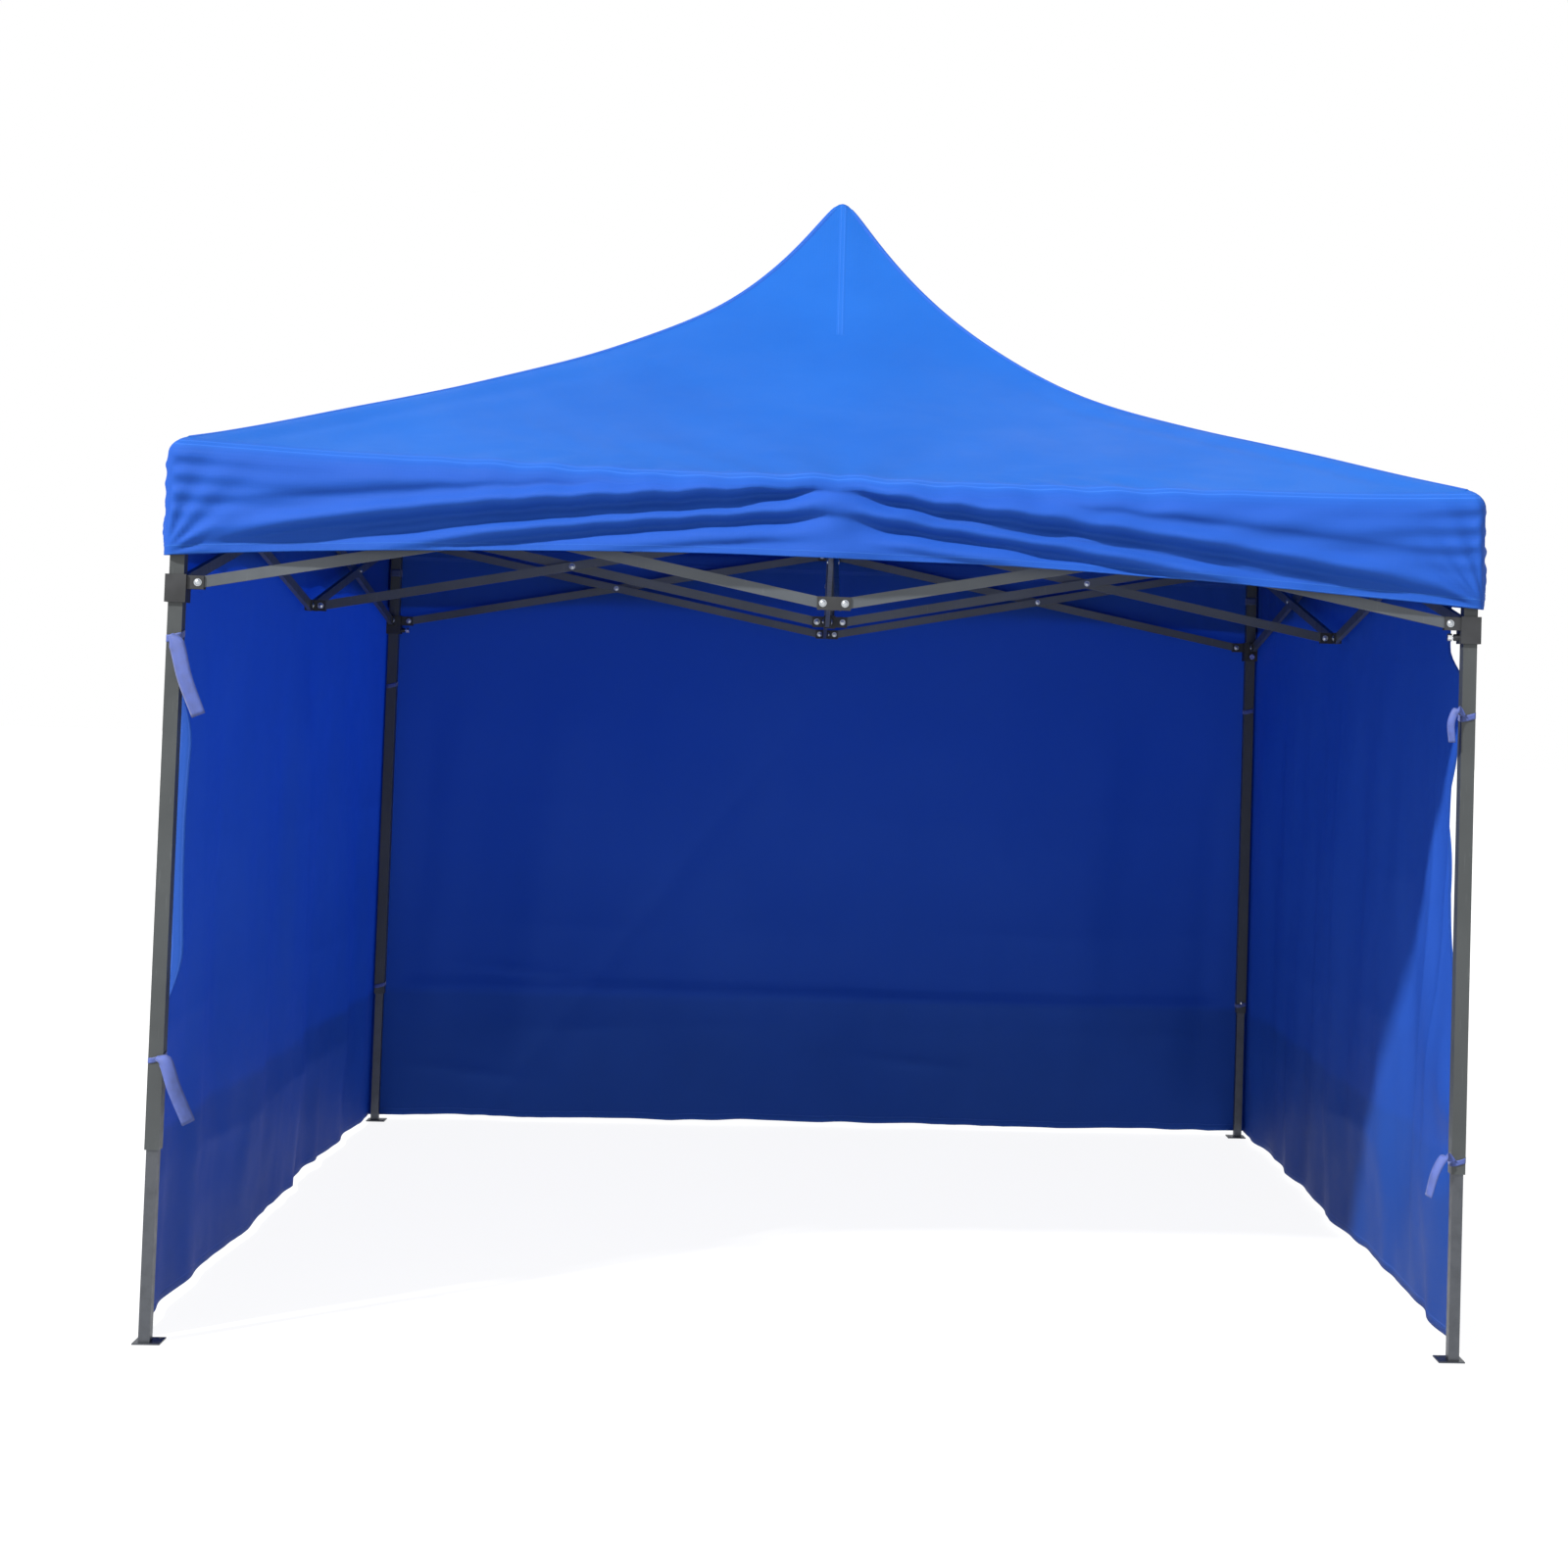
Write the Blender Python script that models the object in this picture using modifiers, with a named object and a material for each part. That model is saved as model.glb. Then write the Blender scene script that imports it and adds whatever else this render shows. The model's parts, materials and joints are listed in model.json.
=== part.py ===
"""Pop-up gazebo, 3 x 3 m, with a scissor frame, a peaked canopy and three walls.

Metres, +Z up, the origin on the ground under the mast. The front is open and faces -Y.
Each side of the frame is modelled once, as the front side, and turned about the mast for the others.
"""

import math

import bmesh
import bpy
from mathutils import Euler, Matrix, Vector

# Driving dimensions of the frame
LEG_SPACING = 2.90          # between leg centres
UPPER_Z = 1.930             # pivots on the brackets, the upper hub and the upper side connectors
LOWER_Z = 1.665             # pivots on the sliders, the lower hub and the lower side connectors
CORNER_REACH = 0.047        # leg centre to a pivot of its bracket or slider
MIDDLE_REACH = 0.025        # centre of a side to a pivot of its connectors
INWARD_REACH = 0.036        # side plane to the connectors' inner pivot
HUB_REACH = 0.036           # mast centre to a pivot of a hub
HALF_SPACING = LEG_SPACING / 2

# Scissor bars: rectangular tube, in two layers that lie side by side
BAR_HEIGHT = 0.025
BAR_THICKNESS = 0.012
BAR_WALL = 0.0008
BAR_END = 0.012             # bar beyond its pivot
LAYER = 0.0065              # a layer's centre from the middle of the pair
SPAN = HALF_SPACING - CORNER_REACH - MIDDLE_REACH
RISE = UPPER_Z - LOWER_Z
BAR_PIVOTS = math.hypot(SPAN, RISE)
BAR_ANGLE = math.atan2(RISE, SPAN)

# Pivots: a pin in a loose hole
PIN_RADIUS = 0.0039
HOLE_RADIUS = 0.0046
PIN_SIDES = 8
STUD_REACH = 0.0085         # crossing stud, into the other bar's hollow

# Forks that hold a bar's end
EAR_THICKNESS = 0.004
EAR_OFFSET = 0.0085         # ear centre from the bar's centre
EAR_BEYOND = 0.013          # ear beyond the pivot
EAR_HALF_HEIGHT = 0.015

# Telescopic legs
OUTER_LEG = 0.032
OUTER_WALL = 0.001
OUTER_BOTTOM = 0.420
INNER_LEG = 0.025
INNER_WALL = 0.001
INNER_TOP = 0.970
PLATE_THICKNESS = 0.003
PLATE_OUTWARD = 0.0235      # leg centre to the foot plate's outer edges
PLATE_INWARD = 0.0365
PEG_HOLE_RADIUS = 0.005
BUTTON_HOLE_RADIUS = 0.005
BUTTON_HOLE_Z = 0.455
LOCK_HOLE_RADIUS = 0.005

# Corner brackets and sliders
BRACKET_HALF = 0.019
BRACKET_TOP = 0.020         # above the upper pivots
BRACKET_BOTTOM = 0.032      # below them
LEG_TOP = 0.004             # leg's end above the upper pivots
SOCKET_HALF = 0.0164
SLIDER_HALF = 0.023
SLIDER_BORE = 0.0165
SLIDER_TOP = 0.017
SLIDER_BOTTOM = 0.045
BOSS_RADIUS = 0.008
BOSS_END = 0.035
LOCK_DROP = 0.031           # pull pin below the slider's pivots
LOCK_PIN_RADIUS = 0.003
LOCK_PIN_TIP = 0.0169
LOCK_KNOB_START = 0.040
LOCK_KNOB_END = 0.050
LOCK_KNOB_RADIUS = 0.009

# Hubs and mast
HUB_HALF = 0.016
HUB_HALF_HEIGHT = 0.018
HUB_BORE = 0.0133
MAST_RADIUS = 0.0125
MAST_WALL = 0.0012
MAST_TOP = 2.805
MAST_SEAT = 0.0005          # mast's foot above the lower hub
CAP_RADIUS = 0.030
CAP_SKIRT = 0.012

# Canopy and walls
CANOPY_HALF = 1.480
EAVE_Z = 1.960              # at the corners
EAVE_SAG = 0.018            # in the middle of each side
APEX_Z = 2.854
TIP_HEIGHT = 0.384          # part of the roof's height in the steep tip
TIP_SPREAD = 0.19           # how fast the tip flattens, as a share of the half width
TIP_ROUNDING = 0.022
HEM_Z = 1.710               # at the corners
HEM_LIFT = 0.037            # in the middle of each side
ROOF_CELLS = 16
FABRIC = 0.001
WALL_INSET = 0.0045         # canopy's outer face to the walls' inner face
WALL_HALF_WIDTH = 1.440
WALL_TOP = 1.925
WALL_BOTTOM = 0.015

SIDES = ("front", "right", "back", "left")
CORNERS = ("front_right", "back_right", "back_left", "front_left")   # the right end of each side
HANDS = {"left": -1, "right": 1}    # the two halves of a side, seen from outside
EXTRA = 0.004                       # how far a cutter runs past what it cuts


def collection(name):
    """A new collection in the scene."""
    made = bpy.data.collections.new(name)
    bpy.context.scene.collection.children.link(made)
    return made


def material(name, colour, roughness, metallic=0.0):
    """A plain Principled material."""
    made = bpy.data.materials.new(name)
    made.use_nodes = True
    shader = made.node_tree.nodes["Principled BSDF"]
    shader.inputs["Base Color"].default_value = (*colour, 1.0)
    shader.inputs["Roughness"].default_value = roughness
    shader.inputs["Metallic"].default_value = metallic
    return made


def new_object(name, mesh, home):
    made = bpy.data.objects.new(name, mesh)
    home.objects.link(made)
    return made


def box_mesh(name, low, high):
    """A box between two corners."""
    low, high = Vector(low), Vector(high)
    size = high - low
    mesh = bpy.data.meshes.new(name)
    shape = bmesh.new()
    place = Matrix.Translation((low + high) / 2) @ Matrix.Diagonal((*size, 1.0))
    bmesh.ops.create_cube(shape, size=1.0, matrix=place)
    shape.to_mesh(mesh)
    shape.free()
    return mesh


def rod_mesh(name, start, end, radius, sides=PIN_SIDES, end_radius=None):
    """A cylinder, or a cone, between two points."""
    start, end = Vector(start), Vector(end)
    along = end - start
    mesh = bpy.data.meshes.new(name)
    shape = bmesh.new()
    place = Matrix.Translation((start + end) / 2) @ along.to_track_quat("Z", "Y").to_matrix().to_4x4()
    bmesh.ops.create_cone(
        shape, cap_ends=True, segments=sides, radius1=radius,
        radius2=radius if end_radius is None else end_radius, depth=along.length, matrix=place,
    )
    shape.to_mesh(mesh)
    shape.free()
    return mesh


def combined(name, first, joins=(), cuts=()):
    """One mesh: the first mesh, with the joins added and then the cuts taken away."""
    base = new_object(name + "_base", first, CUTTERS)
    for operation, meshes in (("UNION", joins), ("DIFFERENCE", cuts)):
        for index, mesh in enumerate(meshes):
            tool = new_object(f"{name}_{operation.lower()}_{index}", mesh, CUTTERS)
            tool.hide_render = True
            tool.display_type = "WIRE"
            boolean = base.modifiers.new(tool.name, "BOOLEAN")
            boolean.operation = operation
            boolean.object = tool
    base.hide_render = True
    base.display_type = "WIRE"
    bpy.context.view_layer.update()
    graph = bpy.context.evaluated_depsgraph_get()
    made = bpy.data.meshes.new_from_object(base.evaluated_get(graph))
    made.name = name
    base.modifiers.clear()
    return made


def place(name, mesh, look, side=0, location=(0, 0, 0), rotation=(0, 0, 0)):
    """A named part: set out on the front side, then turned about the mast to its own side."""
    made = new_object(name, mesh, GAZEBO)
    if not made.data.materials:
        made.data.materials.append(look)
    local = Matrix.LocRotScale(Vector(location), Euler(rotation), None)
    made.matrix_world = Matrix.Rotation(side * math.pi / 2, 4, "Z") @ local
    return made


def tube_parts(half_width, half_depth, bottom, top, wall):
    """A rectangular tube along Z, as its outside and the cutter of its hollow."""
    outside = box_mesh("tube", (-half_width, -half_depth, bottom), (half_width, half_depth, top))
    hollow = box_mesh(
        "hollow",
        (-half_width + wall, -half_depth + wall, bottom - EXTRA),
        (half_width - wall, half_depth - wall, top + EXTRA),
    )
    return outside, hollow


def ears(direction, lateral, start, reach):
    """A fork's two ears and its pin. direction is +-x or +-y, lateral the bar's centre across it."""
    along = Vector(direction)
    across = Vector((abs(along.y), abs(along.x), 0))
    half = across * EAR_THICKNESS / 2 + Vector((0, 0, EAR_HALF_HEIGHT))
    pieces = []
    for side in (-1, 1):
        centre = across * (lateral + side * EAR_OFFSET)
        ends = [centre + along * start, centre + along * (reach + EAR_BEYOND)]
        low = Vector([min(a, b) for a, b in zip(*ends)]) - half
        high = Vector([max(a, b) for a, b in zip(*ends)]) + half
        pieces.append(box_mesh("ear", low, high))
    pivot = across * lateral + along * reach
    pieces.append(rod_mesh("pin", pivot - across * EAR_OFFSET, pivot + across * EAR_OFFSET, PIN_RADIUS))
    return pieces


def bar_mesh(name, has_stud):
    """A scissor bar along +X from its first pivot, its thickness along Y. The stud points to +Y."""
    half_height, half_thickness = BAR_HEIGHT / 2, BAR_THICKNESS / 2
    low, high = -BAR_END, BAR_PIVOTS + BAR_END
    outside = box_mesh("bar", (low, -half_thickness, -half_height), (high, half_thickness, half_height))
    cuts = [box_mesh(
        "hollow",
        (low - EXTRA, BAR_WALL - half_thickness, BAR_WALL - half_height),
        (high + EXTRA, half_thickness - BAR_WALL, half_height - BAR_WALL),
    )]
    for x in (0.0, BAR_PIVOTS):
        cuts.append(rod_mesh("hole", (x, -BAR_THICKNESS, 0), (x, BAR_THICKNESS, 0), HOLE_RADIUS))
    middle = BAR_PIVOTS / 2
    if not has_stud:
        cuts.append(rod_mesh("hole", (middle, 0, 0), (middle, BAR_THICKNESS, 0), HOLE_RADIUS))
        return combined(name, outside, cuts=cuts)
    tube = combined(name + "_tube", outside, cuts=cuts)
    stud_start = half_thickness - BAR_WALL / 2
    stud = rod_mesh("stud", (middle, stud_start, 0), (middle, half_thickness + STUD_REACH, 0), PIN_RADIUS)
    return combined(name, tube, joins=[stud])


def connector_mesh(name, side_layer, inner_layer):
    """A connector in the middle of a side, its centre at the origin, for two side bars and one inner bar."""
    plate_half = MIDDLE_REACH + EAR_BEYOND
    pieces = []
    for end in (-1, 1):
        y = side_layer + end * EAR_OFFSET
        pieces.append(box_mesh(
            "plate",
            (-plate_half, y - EAR_THICKNESS / 2, -EAR_HALF_HEIGHT),
            (plate_half, y + EAR_THICKNESS / 2, EAR_HALF_HEIGHT),
        ))
        x = end * MIDDLE_REACH
        pieces.append(rod_mesh(
            "pin", (x, side_layer - EAR_OFFSET, 0), (x, side_layer + EAR_OFFSET, 0), PIN_RADIUS
        ))
    web = box_mesh(
        "web",
        (-0.0065, side_layer - EAR_OFFSET, -EAR_HALF_HEIGHT + 0.001),
        (0.0065, side_layer + EAR_OFFSET, EAR_HALF_HEIGHT - 0.001),
    )
    inner = ears((0, 1, 0), inner_layer, side_layer + EAR_OFFSET, INWARD_REACH)
    return combined(name, web, joins=pieces + inner)


def hub_mesh(name, layer, bore):
    """A hub with a fork on each side, its centre at the origin."""
    body = box_mesh(
        "block", (-HUB_HALF, -HUB_HALF, -HUB_HALF_HEIGHT), (HUB_HALF, HUB_HALF, HUB_HALF_HEIGHT)
    )
    forks = []
    for index in range(len(SIDES)):
        for piece in ears((0, -1, 0), layer, HUB_HALF - 0.003, HUB_REACH):
            piece.transform(Matrix.Rotation(index * math.pi / 2, 4, "Z"))
            forks.append(piece)
    cuts = []
    if bore:
        depth = HUB_HALF_HEIGHT + EXTRA
        cuts.append(rod_mesh("bore", (0, 0, -depth), (0, 0, depth), HUB_BORE, sides=16))
    return combined(name, body, joins=forks, cuts=cuts)


def bracket_mesh():
    """A corner bracket, at the front right leg, its origin in the leg's centre at the upper pivots."""
    block = box_mesh(
        "block", (-BRACKET_HALF, -BRACKET_HALF, -BRACKET_BOTTOM), (BRACKET_HALF, BRACKET_HALF, BRACKET_TOP)
    )
    socket = box_mesh(
        "socket",
        (-SOCKET_HALF, -SOCKET_HALF, -BRACKET_BOTTOM - EXTRA),
        (SOCKET_HALF, SOCKET_HALF, LEG_TOP + 0.0004),
    )
    forks = ears((-1, 0, 0), LAYER, 0.0175, CORNER_REACH) + ears((0, 1, 0), -LAYER, 0.0175, CORNER_REACH)
    return combined("corner_bracket", block, joins=forks, cuts=[socket])


def slider_mesh():
    """A slider, at the front right leg, its origin in the leg's centre at the lower pivots."""
    ring = box_mesh(
        "ring", (-SLIDER_HALF, -SLIDER_HALF, -SLIDER_BOTTOM), (SLIDER_HALF, SLIDER_HALF, SLIDER_TOP)
    )
    bore = box_mesh(
        "bore",
        (-SLIDER_BORE, -SLIDER_BORE, -SLIDER_BOTTOM - EXTRA),
        (SLIDER_BORE, SLIDER_BORE, SLIDER_TOP + EXTRA),
    )
    forks = ears((-1, 0, 0), -LAYER, 0.0205, CORNER_REACH) + ears((0, 1, 0), LAYER, 0.0205, CORNER_REACH)
    boss = rod_mesh("boss", (-0.020, 0, -LOCK_DROP), (-BOSS_END, 0, -LOCK_DROP), BOSS_RADIUS)
    pin_hole = rod_mesh(
        "pin_hole", (-0.010, 0, -LOCK_DROP), (-BOSS_END - EXTRA, 0, -LOCK_DROP), HOLE_RADIUS - 0.0006
    )
    return combined("slider", ring, joins=forks + [boss], cuts=[bore, pin_hole])


def lock_pin_mesh():
    """A slider's sprung pull pin with its knob."""
    shaft = rod_mesh(
        "shaft", (-LOCK_PIN_TIP, 0, -LOCK_DROP), (-LOCK_KNOB_START - 0.002, 0, -LOCK_DROP), LOCK_PIN_RADIUS
    )
    knob = rod_mesh(
        "knob", (-LOCK_KNOB_START, 0, -LOCK_DROP), (-LOCK_KNOB_END, 0, -LOCK_DROP), LOCK_KNOB_RADIUS, sides=12
    )
    return combined("slider_pin", knob, joins=[shaft])


def outer_leg_mesh():
    """The upper square tube of a leg, with its lock hole and the hole of its height button."""
    half = OUTER_LEG / 2
    outside, hollow = tube_parts(half, half, OUTER_BOTTOM, UPPER_Z + LEG_TOP, OUTER_WALL)
    lock_z = LOWER_Z - LOCK_DROP
    lock = rod_mesh("lock", (-2 * half, 0, lock_z), (0, 0, lock_z), LOCK_HOLE_RADIUS)
    button = rod_mesh("button", (-2 * half, 0, BUTTON_HOLE_Z), (0, 0, BUTTON_HOLE_Z), BUTTON_HOLE_RADIUS)
    return combined("outer_leg", outside, cuts=[hollow, lock, button])


def inner_leg_mesh():
    """The lower square tube of a leg, welded to its foot plate, which has a hole for a ground peg."""
    half = INNER_LEG / 2
    outside, hollow = tube_parts(half, half, PLATE_THICKNESS / 2, INNER_TOP, INNER_WALL)
    tube = combined("inner_tube", outside, cuts=[hollow])
    plate = box_mesh(
        "plate", (-PLATE_INWARD, -PLATE_OUTWARD, 0), (PLATE_OUTWARD, PLATE_INWARD, PLATE_THICKNESS)
    )
    peg_x = PLATE_INWARD - 0.0095
    peg = rod_mesh(
        "peg", (-peg_x, peg_x, -EXTRA), (-peg_x, peg_x, PLATE_THICKNESS + EXTRA), PEG_HOLE_RADIUS
    )
    return combined("inner_leg", tube, joins=[plate], cuts=[peg])


def mast_mesh():
    """The mast: a round tube, open at both ends."""
    bottom = LOWER_Z + HUB_HALF_HEIGHT + MAST_SEAT
    tube = rod_mesh("mast", (0, 0, bottom), (0, 0, MAST_TOP), MAST_RADIUS, sides=16)
    hollow = rod_mesh(
        "hollow", (0, 0, bottom - EXTRA), (0, 0, MAST_TOP + EXTRA), MAST_RADIUS - MAST_WALL, sides=16
    )
    return combined("mast", tube, cuts=[hollow])


def cap_mesh():
    """The dome that carries the canopy, with a socket for the mast: a profile turned about the mast."""
    profile = [(0.0, CAP_RADIUS)]
    steps = 5
    for index in range(1, steps):
        turn = math.pi / 2 * index / steps
        profile.append((CAP_RADIUS * math.sin(turn), CAP_RADIUS * math.cos(turn)))
    socket = MAST_RADIUS + 0.0004
    profile += [(CAP_RADIUS, 0.0), (CAP_RADIUS, -CAP_SKIRT), (socket, -CAP_SKIRT), (socket, 0.0004), (0.0, 0.0004)]
    mesh = bpy.data.meshes.new("cap_profile")
    mesh.from_pydata([(x, 0.0, z) for x, z in profile], [(i, i + 1) for i in range(len(profile) - 1)], [])
    turned = new_object("cap_profile", mesh, CUTTERS)
    turned.hide_render = True
    screw = turned.modifiers.new("turn", "SCREW")
    screw.steps = screw.render_steps = 16
    screw.use_merge_vertices = True
    screw.merge_threshold = 0.0001
    bpy.context.view_layer.update()
    made = bpy.data.meshes.new_from_object(turned.evaluated_get(bpy.context.evaluated_depsgraph_get()))
    turned.modifiers.clear()
    return made


def eave_height(along):
    """The eave's height at a share of the half width from the middle of a side."""
    return EAVE_Z - EAVE_SAG * (1 - along * along)


def roof_height(x, y):
    """The roof's outer surface: four panels between the ridges, steep at the rounded tip."""
    out = max(abs(x), abs(y))
    if out < 1e-9:
        return APEX_Z
    along = min(abs(x), abs(y)) / out
    rounded = math.sqrt(out * out + TIP_ROUNDING * TIP_ROUNDING) - TIP_ROUNDING * (1 - out)
    slope = (APEX_Z - EAVE_Z - TIP_HEIGHT) * (1 - rounded)
    tip = TIP_HEIGHT * (math.exp(-rounded / TIP_SPREAD) - math.exp(-1 / TIP_SPREAD) * rounded)
    return EAVE_Z + slope + tip - EAVE_SAG * (1 - along * along) * out * out


def canopy_mesh():
    """The canopy: the roof and its valance as one open sheet, its outer face where the roof says."""
    mesh = bpy.data.meshes.new("canopy")
    shape = bmesh.new()
    bmesh.ops.create_grid(shape, x_segments=ROOF_CELLS, y_segments=ROOF_CELLS, size=1.0)
    for face in list(shape.faces):
        ridge = [v for v in face.verts if abs(abs(v.co.x) - abs(v.co.y)) < 1e-6]
        if len(ridge) == 2:
            bmesh.utils.face_split(face, ridge[0], ridge[1])
    edge = [e for e in shape.edges if e.is_boundary]
    hung = bmesh.ops.extrude_edge_only(shape, edges=edge)["geom"]
    hem = {v for v in hung if isinstance(v, bmesh.types.BMVert)}
    for vertex in shape.verts:
        x, y = vertex.co.x, vertex.co.y
        if vertex in hem:
            along = min(abs(x), abs(y))
            z = HEM_Z + HEM_LIFT * (1 - along * along)
        else:
            # Rings closer together near the tip, where the roof is steep
            out = max(abs(x), abs(y))
            closer = out ** 0.6 if 1e-9 < out < 1 else 0.0
            x, y = (x * closer, y * closer) if closer else (x, y)
            z = roof_height(x, y)
        vertex.co = (x * CANOPY_HALF, y * CANOPY_HALF, z)
    bmesh.ops.recalc_face_normals(shape, faces=shape.faces)
    shape.faces.ensure_lookup_table()
    if max(shape.faces, key=lambda face: face.calc_center_median().z).normal.z < 0:
        bmesh.ops.reverse_faces(shape, faces=shape.faces)
    shape.to_mesh(mesh)
    shape.free()
    return mesh


def add_canopy(look):
    canopy = place("canopy", canopy_mesh(), look)
    skin = canopy.modifiers.new("skin", "SOLIDIFY")
    skin.thickness = FABRIC
    skin.offset = -1.0
    skin.use_even_offset = True


def add_walls(look):
    """Three flat walls just inside the valance; the front stays open."""
    inner = CANOPY_HALF - WALL_INSET
    mesh = box_mesh(
        "wall", (-WALL_HALF_WIDTH, -inner, WALL_BOTTOM), (WALL_HALF_WIDTH, FABRIC - inner, WALL_TOP)
    )
    for side, name in enumerate(SIDES):
        if name != "front":
            place(f"wall_{name}", mesh, look, side)


def add_hub_and_mast(plastic, steel):
    place("hub_upper", hub_mesh("hub_upper", LAYER, bore=True), plastic, location=(0, 0, UPPER_Z))
    place("hub_lower", hub_mesh("hub_lower", -LAYER, bore=False), plastic, location=(0, 0, LOWER_Z))
    place("mast", mast_mesh(), steel)
    place("mast_cap", cap_mesh(), plastic, location=(0, 0, MAST_TOP + 0.001))


def add_bars(steel):
    """Six bars to a side: two from the hubs and two in each half of the side."""
    studded = bar_mesh("bar_with_stud", has_stud=True)
    holed = bar_mesh("bar_with_hole", has_stud=False)
    quarter = math.pi / 2
    for side, name in enumerate(SIDES):
        # Inner bars run out from the hubs along -Y, in layers along X
        place(f"inner_bar_{name}_down", studded, steel, side,
              (LAYER, -HUB_REACH, UPPER_Z), (math.pi, BAR_ANGLE, -quarter))
        place(f"inner_bar_{name}_up", holed, steel, side,
              (-LAYER, -HUB_REACH, LOWER_Z), (0, -BAR_ANGLE, -quarter))
        for hand, sign in HANDS.items():
            start = sign * MIDDLE_REACH
            turn = 0 if sign > 0 else math.pi
            # The hole of a bar faces the stud of the other layer
            flip = turn
            down_y, up_y = -HALF_SPACING - LAYER, -HALF_SPACING + LAYER
            place(f"side_bar_{name}_{hand}_down", holed, steel, side,
                  (start, down_y, UPPER_Z), (flip, BAR_ANGLE, turn))
            place(f"side_bar_{name}_{hand}_up", studded, steel, side,
                  (start, up_y, LOWER_Z), (math.pi - flip, -BAR_ANGLE, turn))


def add_connectors(plastic):
    top = connector_mesh("mid_top", -LAYER, -LAYER)
    bottom = connector_mesh("mid_bottom", LAYER, LAYER)
    for side, name in enumerate(SIDES):
        place(f"mid_top_{name}", top, plastic, side, (0, -HALF_SPACING, UPPER_Z))
        place(f"mid_bottom_{name}", bottom, plastic, side, (0, -HALF_SPACING, LOWER_Z))


def add_legs(steel, dark_steel, plastic):
    """A leg at the right end of each side, with its bracket, slider and pull pin."""
    bracket, slider, lock_pin = bracket_mesh(), slider_mesh(), lock_pin_mesh()
    outer, inner = outer_leg_mesh(), inner_leg_mesh()
    for side, name in enumerate(CORNERS):
        foot = (HALF_SPACING, -HALF_SPACING, 0)
        place(f"outer_leg_{name}", outer, steel, side, foot)
        place(f"inner_leg_{name}", inner, dark_steel, side, foot)
        place(f"corner_bracket_{name}", bracket, plastic, side, (*foot[:2], UPPER_Z))
        place(f"slider_{name}", slider, plastic, side, (*foot[:2], LOWER_Z))
        place(f"slider_pin_{name}", lock_pin, plastic, side, (*foot[:2], LOWER_Z))


for old in list(bpy.data.objects):
    bpy.data.objects.remove(old, do_unlink=True)
GAZEBO = collection("pop_up_gazebo")
CUTTERS = collection("cutters")
CUTTERS.hide_render = True

roof_fabric = material("roof_fabric", (0.045, 0.20, 0.80), 0.55)
wall_fabric = material("wall_fabric", (0.010, 0.045, 0.42), 0.6)
frame_steel = material("frame_steel", (0.32, 0.33, 0.32), 0.35, metallic=0.8)
leg_steel = material("inner_leg_steel", (0.25, 0.25, 0.24), 0.3, metallic=0.9)
black_plastic = material("black_plastic", (0.03, 0.03, 0.035), 0.45)

add_canopy(roof_fabric)
add_walls(wall_fabric)
add_hub_and_mast(black_plastic, frame_steel)
add_bars(frame_steel)
add_connectors(black_plastic)
add_legs(frame_steel, leg_steel, black_plastic)
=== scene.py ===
"""Pop-up gazebo, 3 x 3 m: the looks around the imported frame.

Metres, +Z up, the origin on the ground under the mast, the open front facing -Y. Each side is worked out
once, as the front side, and turned about the mast for the others.
"""

import json
import math

import bmesh
import bpy
import numpy as np
from mathutils import Matrix, Vector

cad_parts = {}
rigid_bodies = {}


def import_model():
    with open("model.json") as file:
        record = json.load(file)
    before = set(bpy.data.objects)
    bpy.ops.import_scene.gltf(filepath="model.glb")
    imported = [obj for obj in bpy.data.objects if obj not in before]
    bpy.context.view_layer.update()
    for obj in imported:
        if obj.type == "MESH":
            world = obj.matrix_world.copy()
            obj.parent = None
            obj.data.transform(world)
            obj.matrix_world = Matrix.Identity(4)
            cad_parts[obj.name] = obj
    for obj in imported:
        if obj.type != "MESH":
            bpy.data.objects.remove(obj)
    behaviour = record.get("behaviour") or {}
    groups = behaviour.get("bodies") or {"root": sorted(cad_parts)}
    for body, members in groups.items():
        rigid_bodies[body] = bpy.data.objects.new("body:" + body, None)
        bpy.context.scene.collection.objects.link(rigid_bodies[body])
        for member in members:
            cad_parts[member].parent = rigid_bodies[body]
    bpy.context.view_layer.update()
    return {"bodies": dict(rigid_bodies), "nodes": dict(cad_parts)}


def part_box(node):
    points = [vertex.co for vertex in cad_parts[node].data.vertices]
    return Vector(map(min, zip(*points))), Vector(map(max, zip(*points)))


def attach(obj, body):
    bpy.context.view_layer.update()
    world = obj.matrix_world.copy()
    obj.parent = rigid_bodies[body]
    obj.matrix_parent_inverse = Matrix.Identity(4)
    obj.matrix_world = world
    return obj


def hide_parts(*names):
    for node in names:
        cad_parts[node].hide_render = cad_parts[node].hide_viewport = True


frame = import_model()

SIDES = ("front", "right", "back", "left")
CORNERS = ("front_right", "back_right", "back_left", "front_left")   # the right end of each side
HANDS = {"left": -1, "right": 1}              # the halves of a side, seen from outside

# The canopy's shape, from its CAD solid
canopy_low, canopy_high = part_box("canopy")
HALF = canopy_high.x
APEX = canopy_high.z
HEM = canopy_low.z              # at the corners
VALANCE = 0.25                  # the depth of its strip
EAVE = HEM + VALANCE            # at the corners
EAVE_SAG = 0.018                # in the middle of a side
HEM_LIFT = 0.037
TIP_HEIGHT = 0.384              # part of the roof's height in the steep tip
TIP_SPREAD = 0.19
TIP_ROUNDING = 0.022
EAVE_RADIUS = 0.032             # where the roof turns down into the valance
EAVE_TURN = 0.045               # the cloth's length round that turn
CORNER_RADIUS = 0.022           # of the canopy's corners, seen from above
FABRIC = 0.0008

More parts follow.
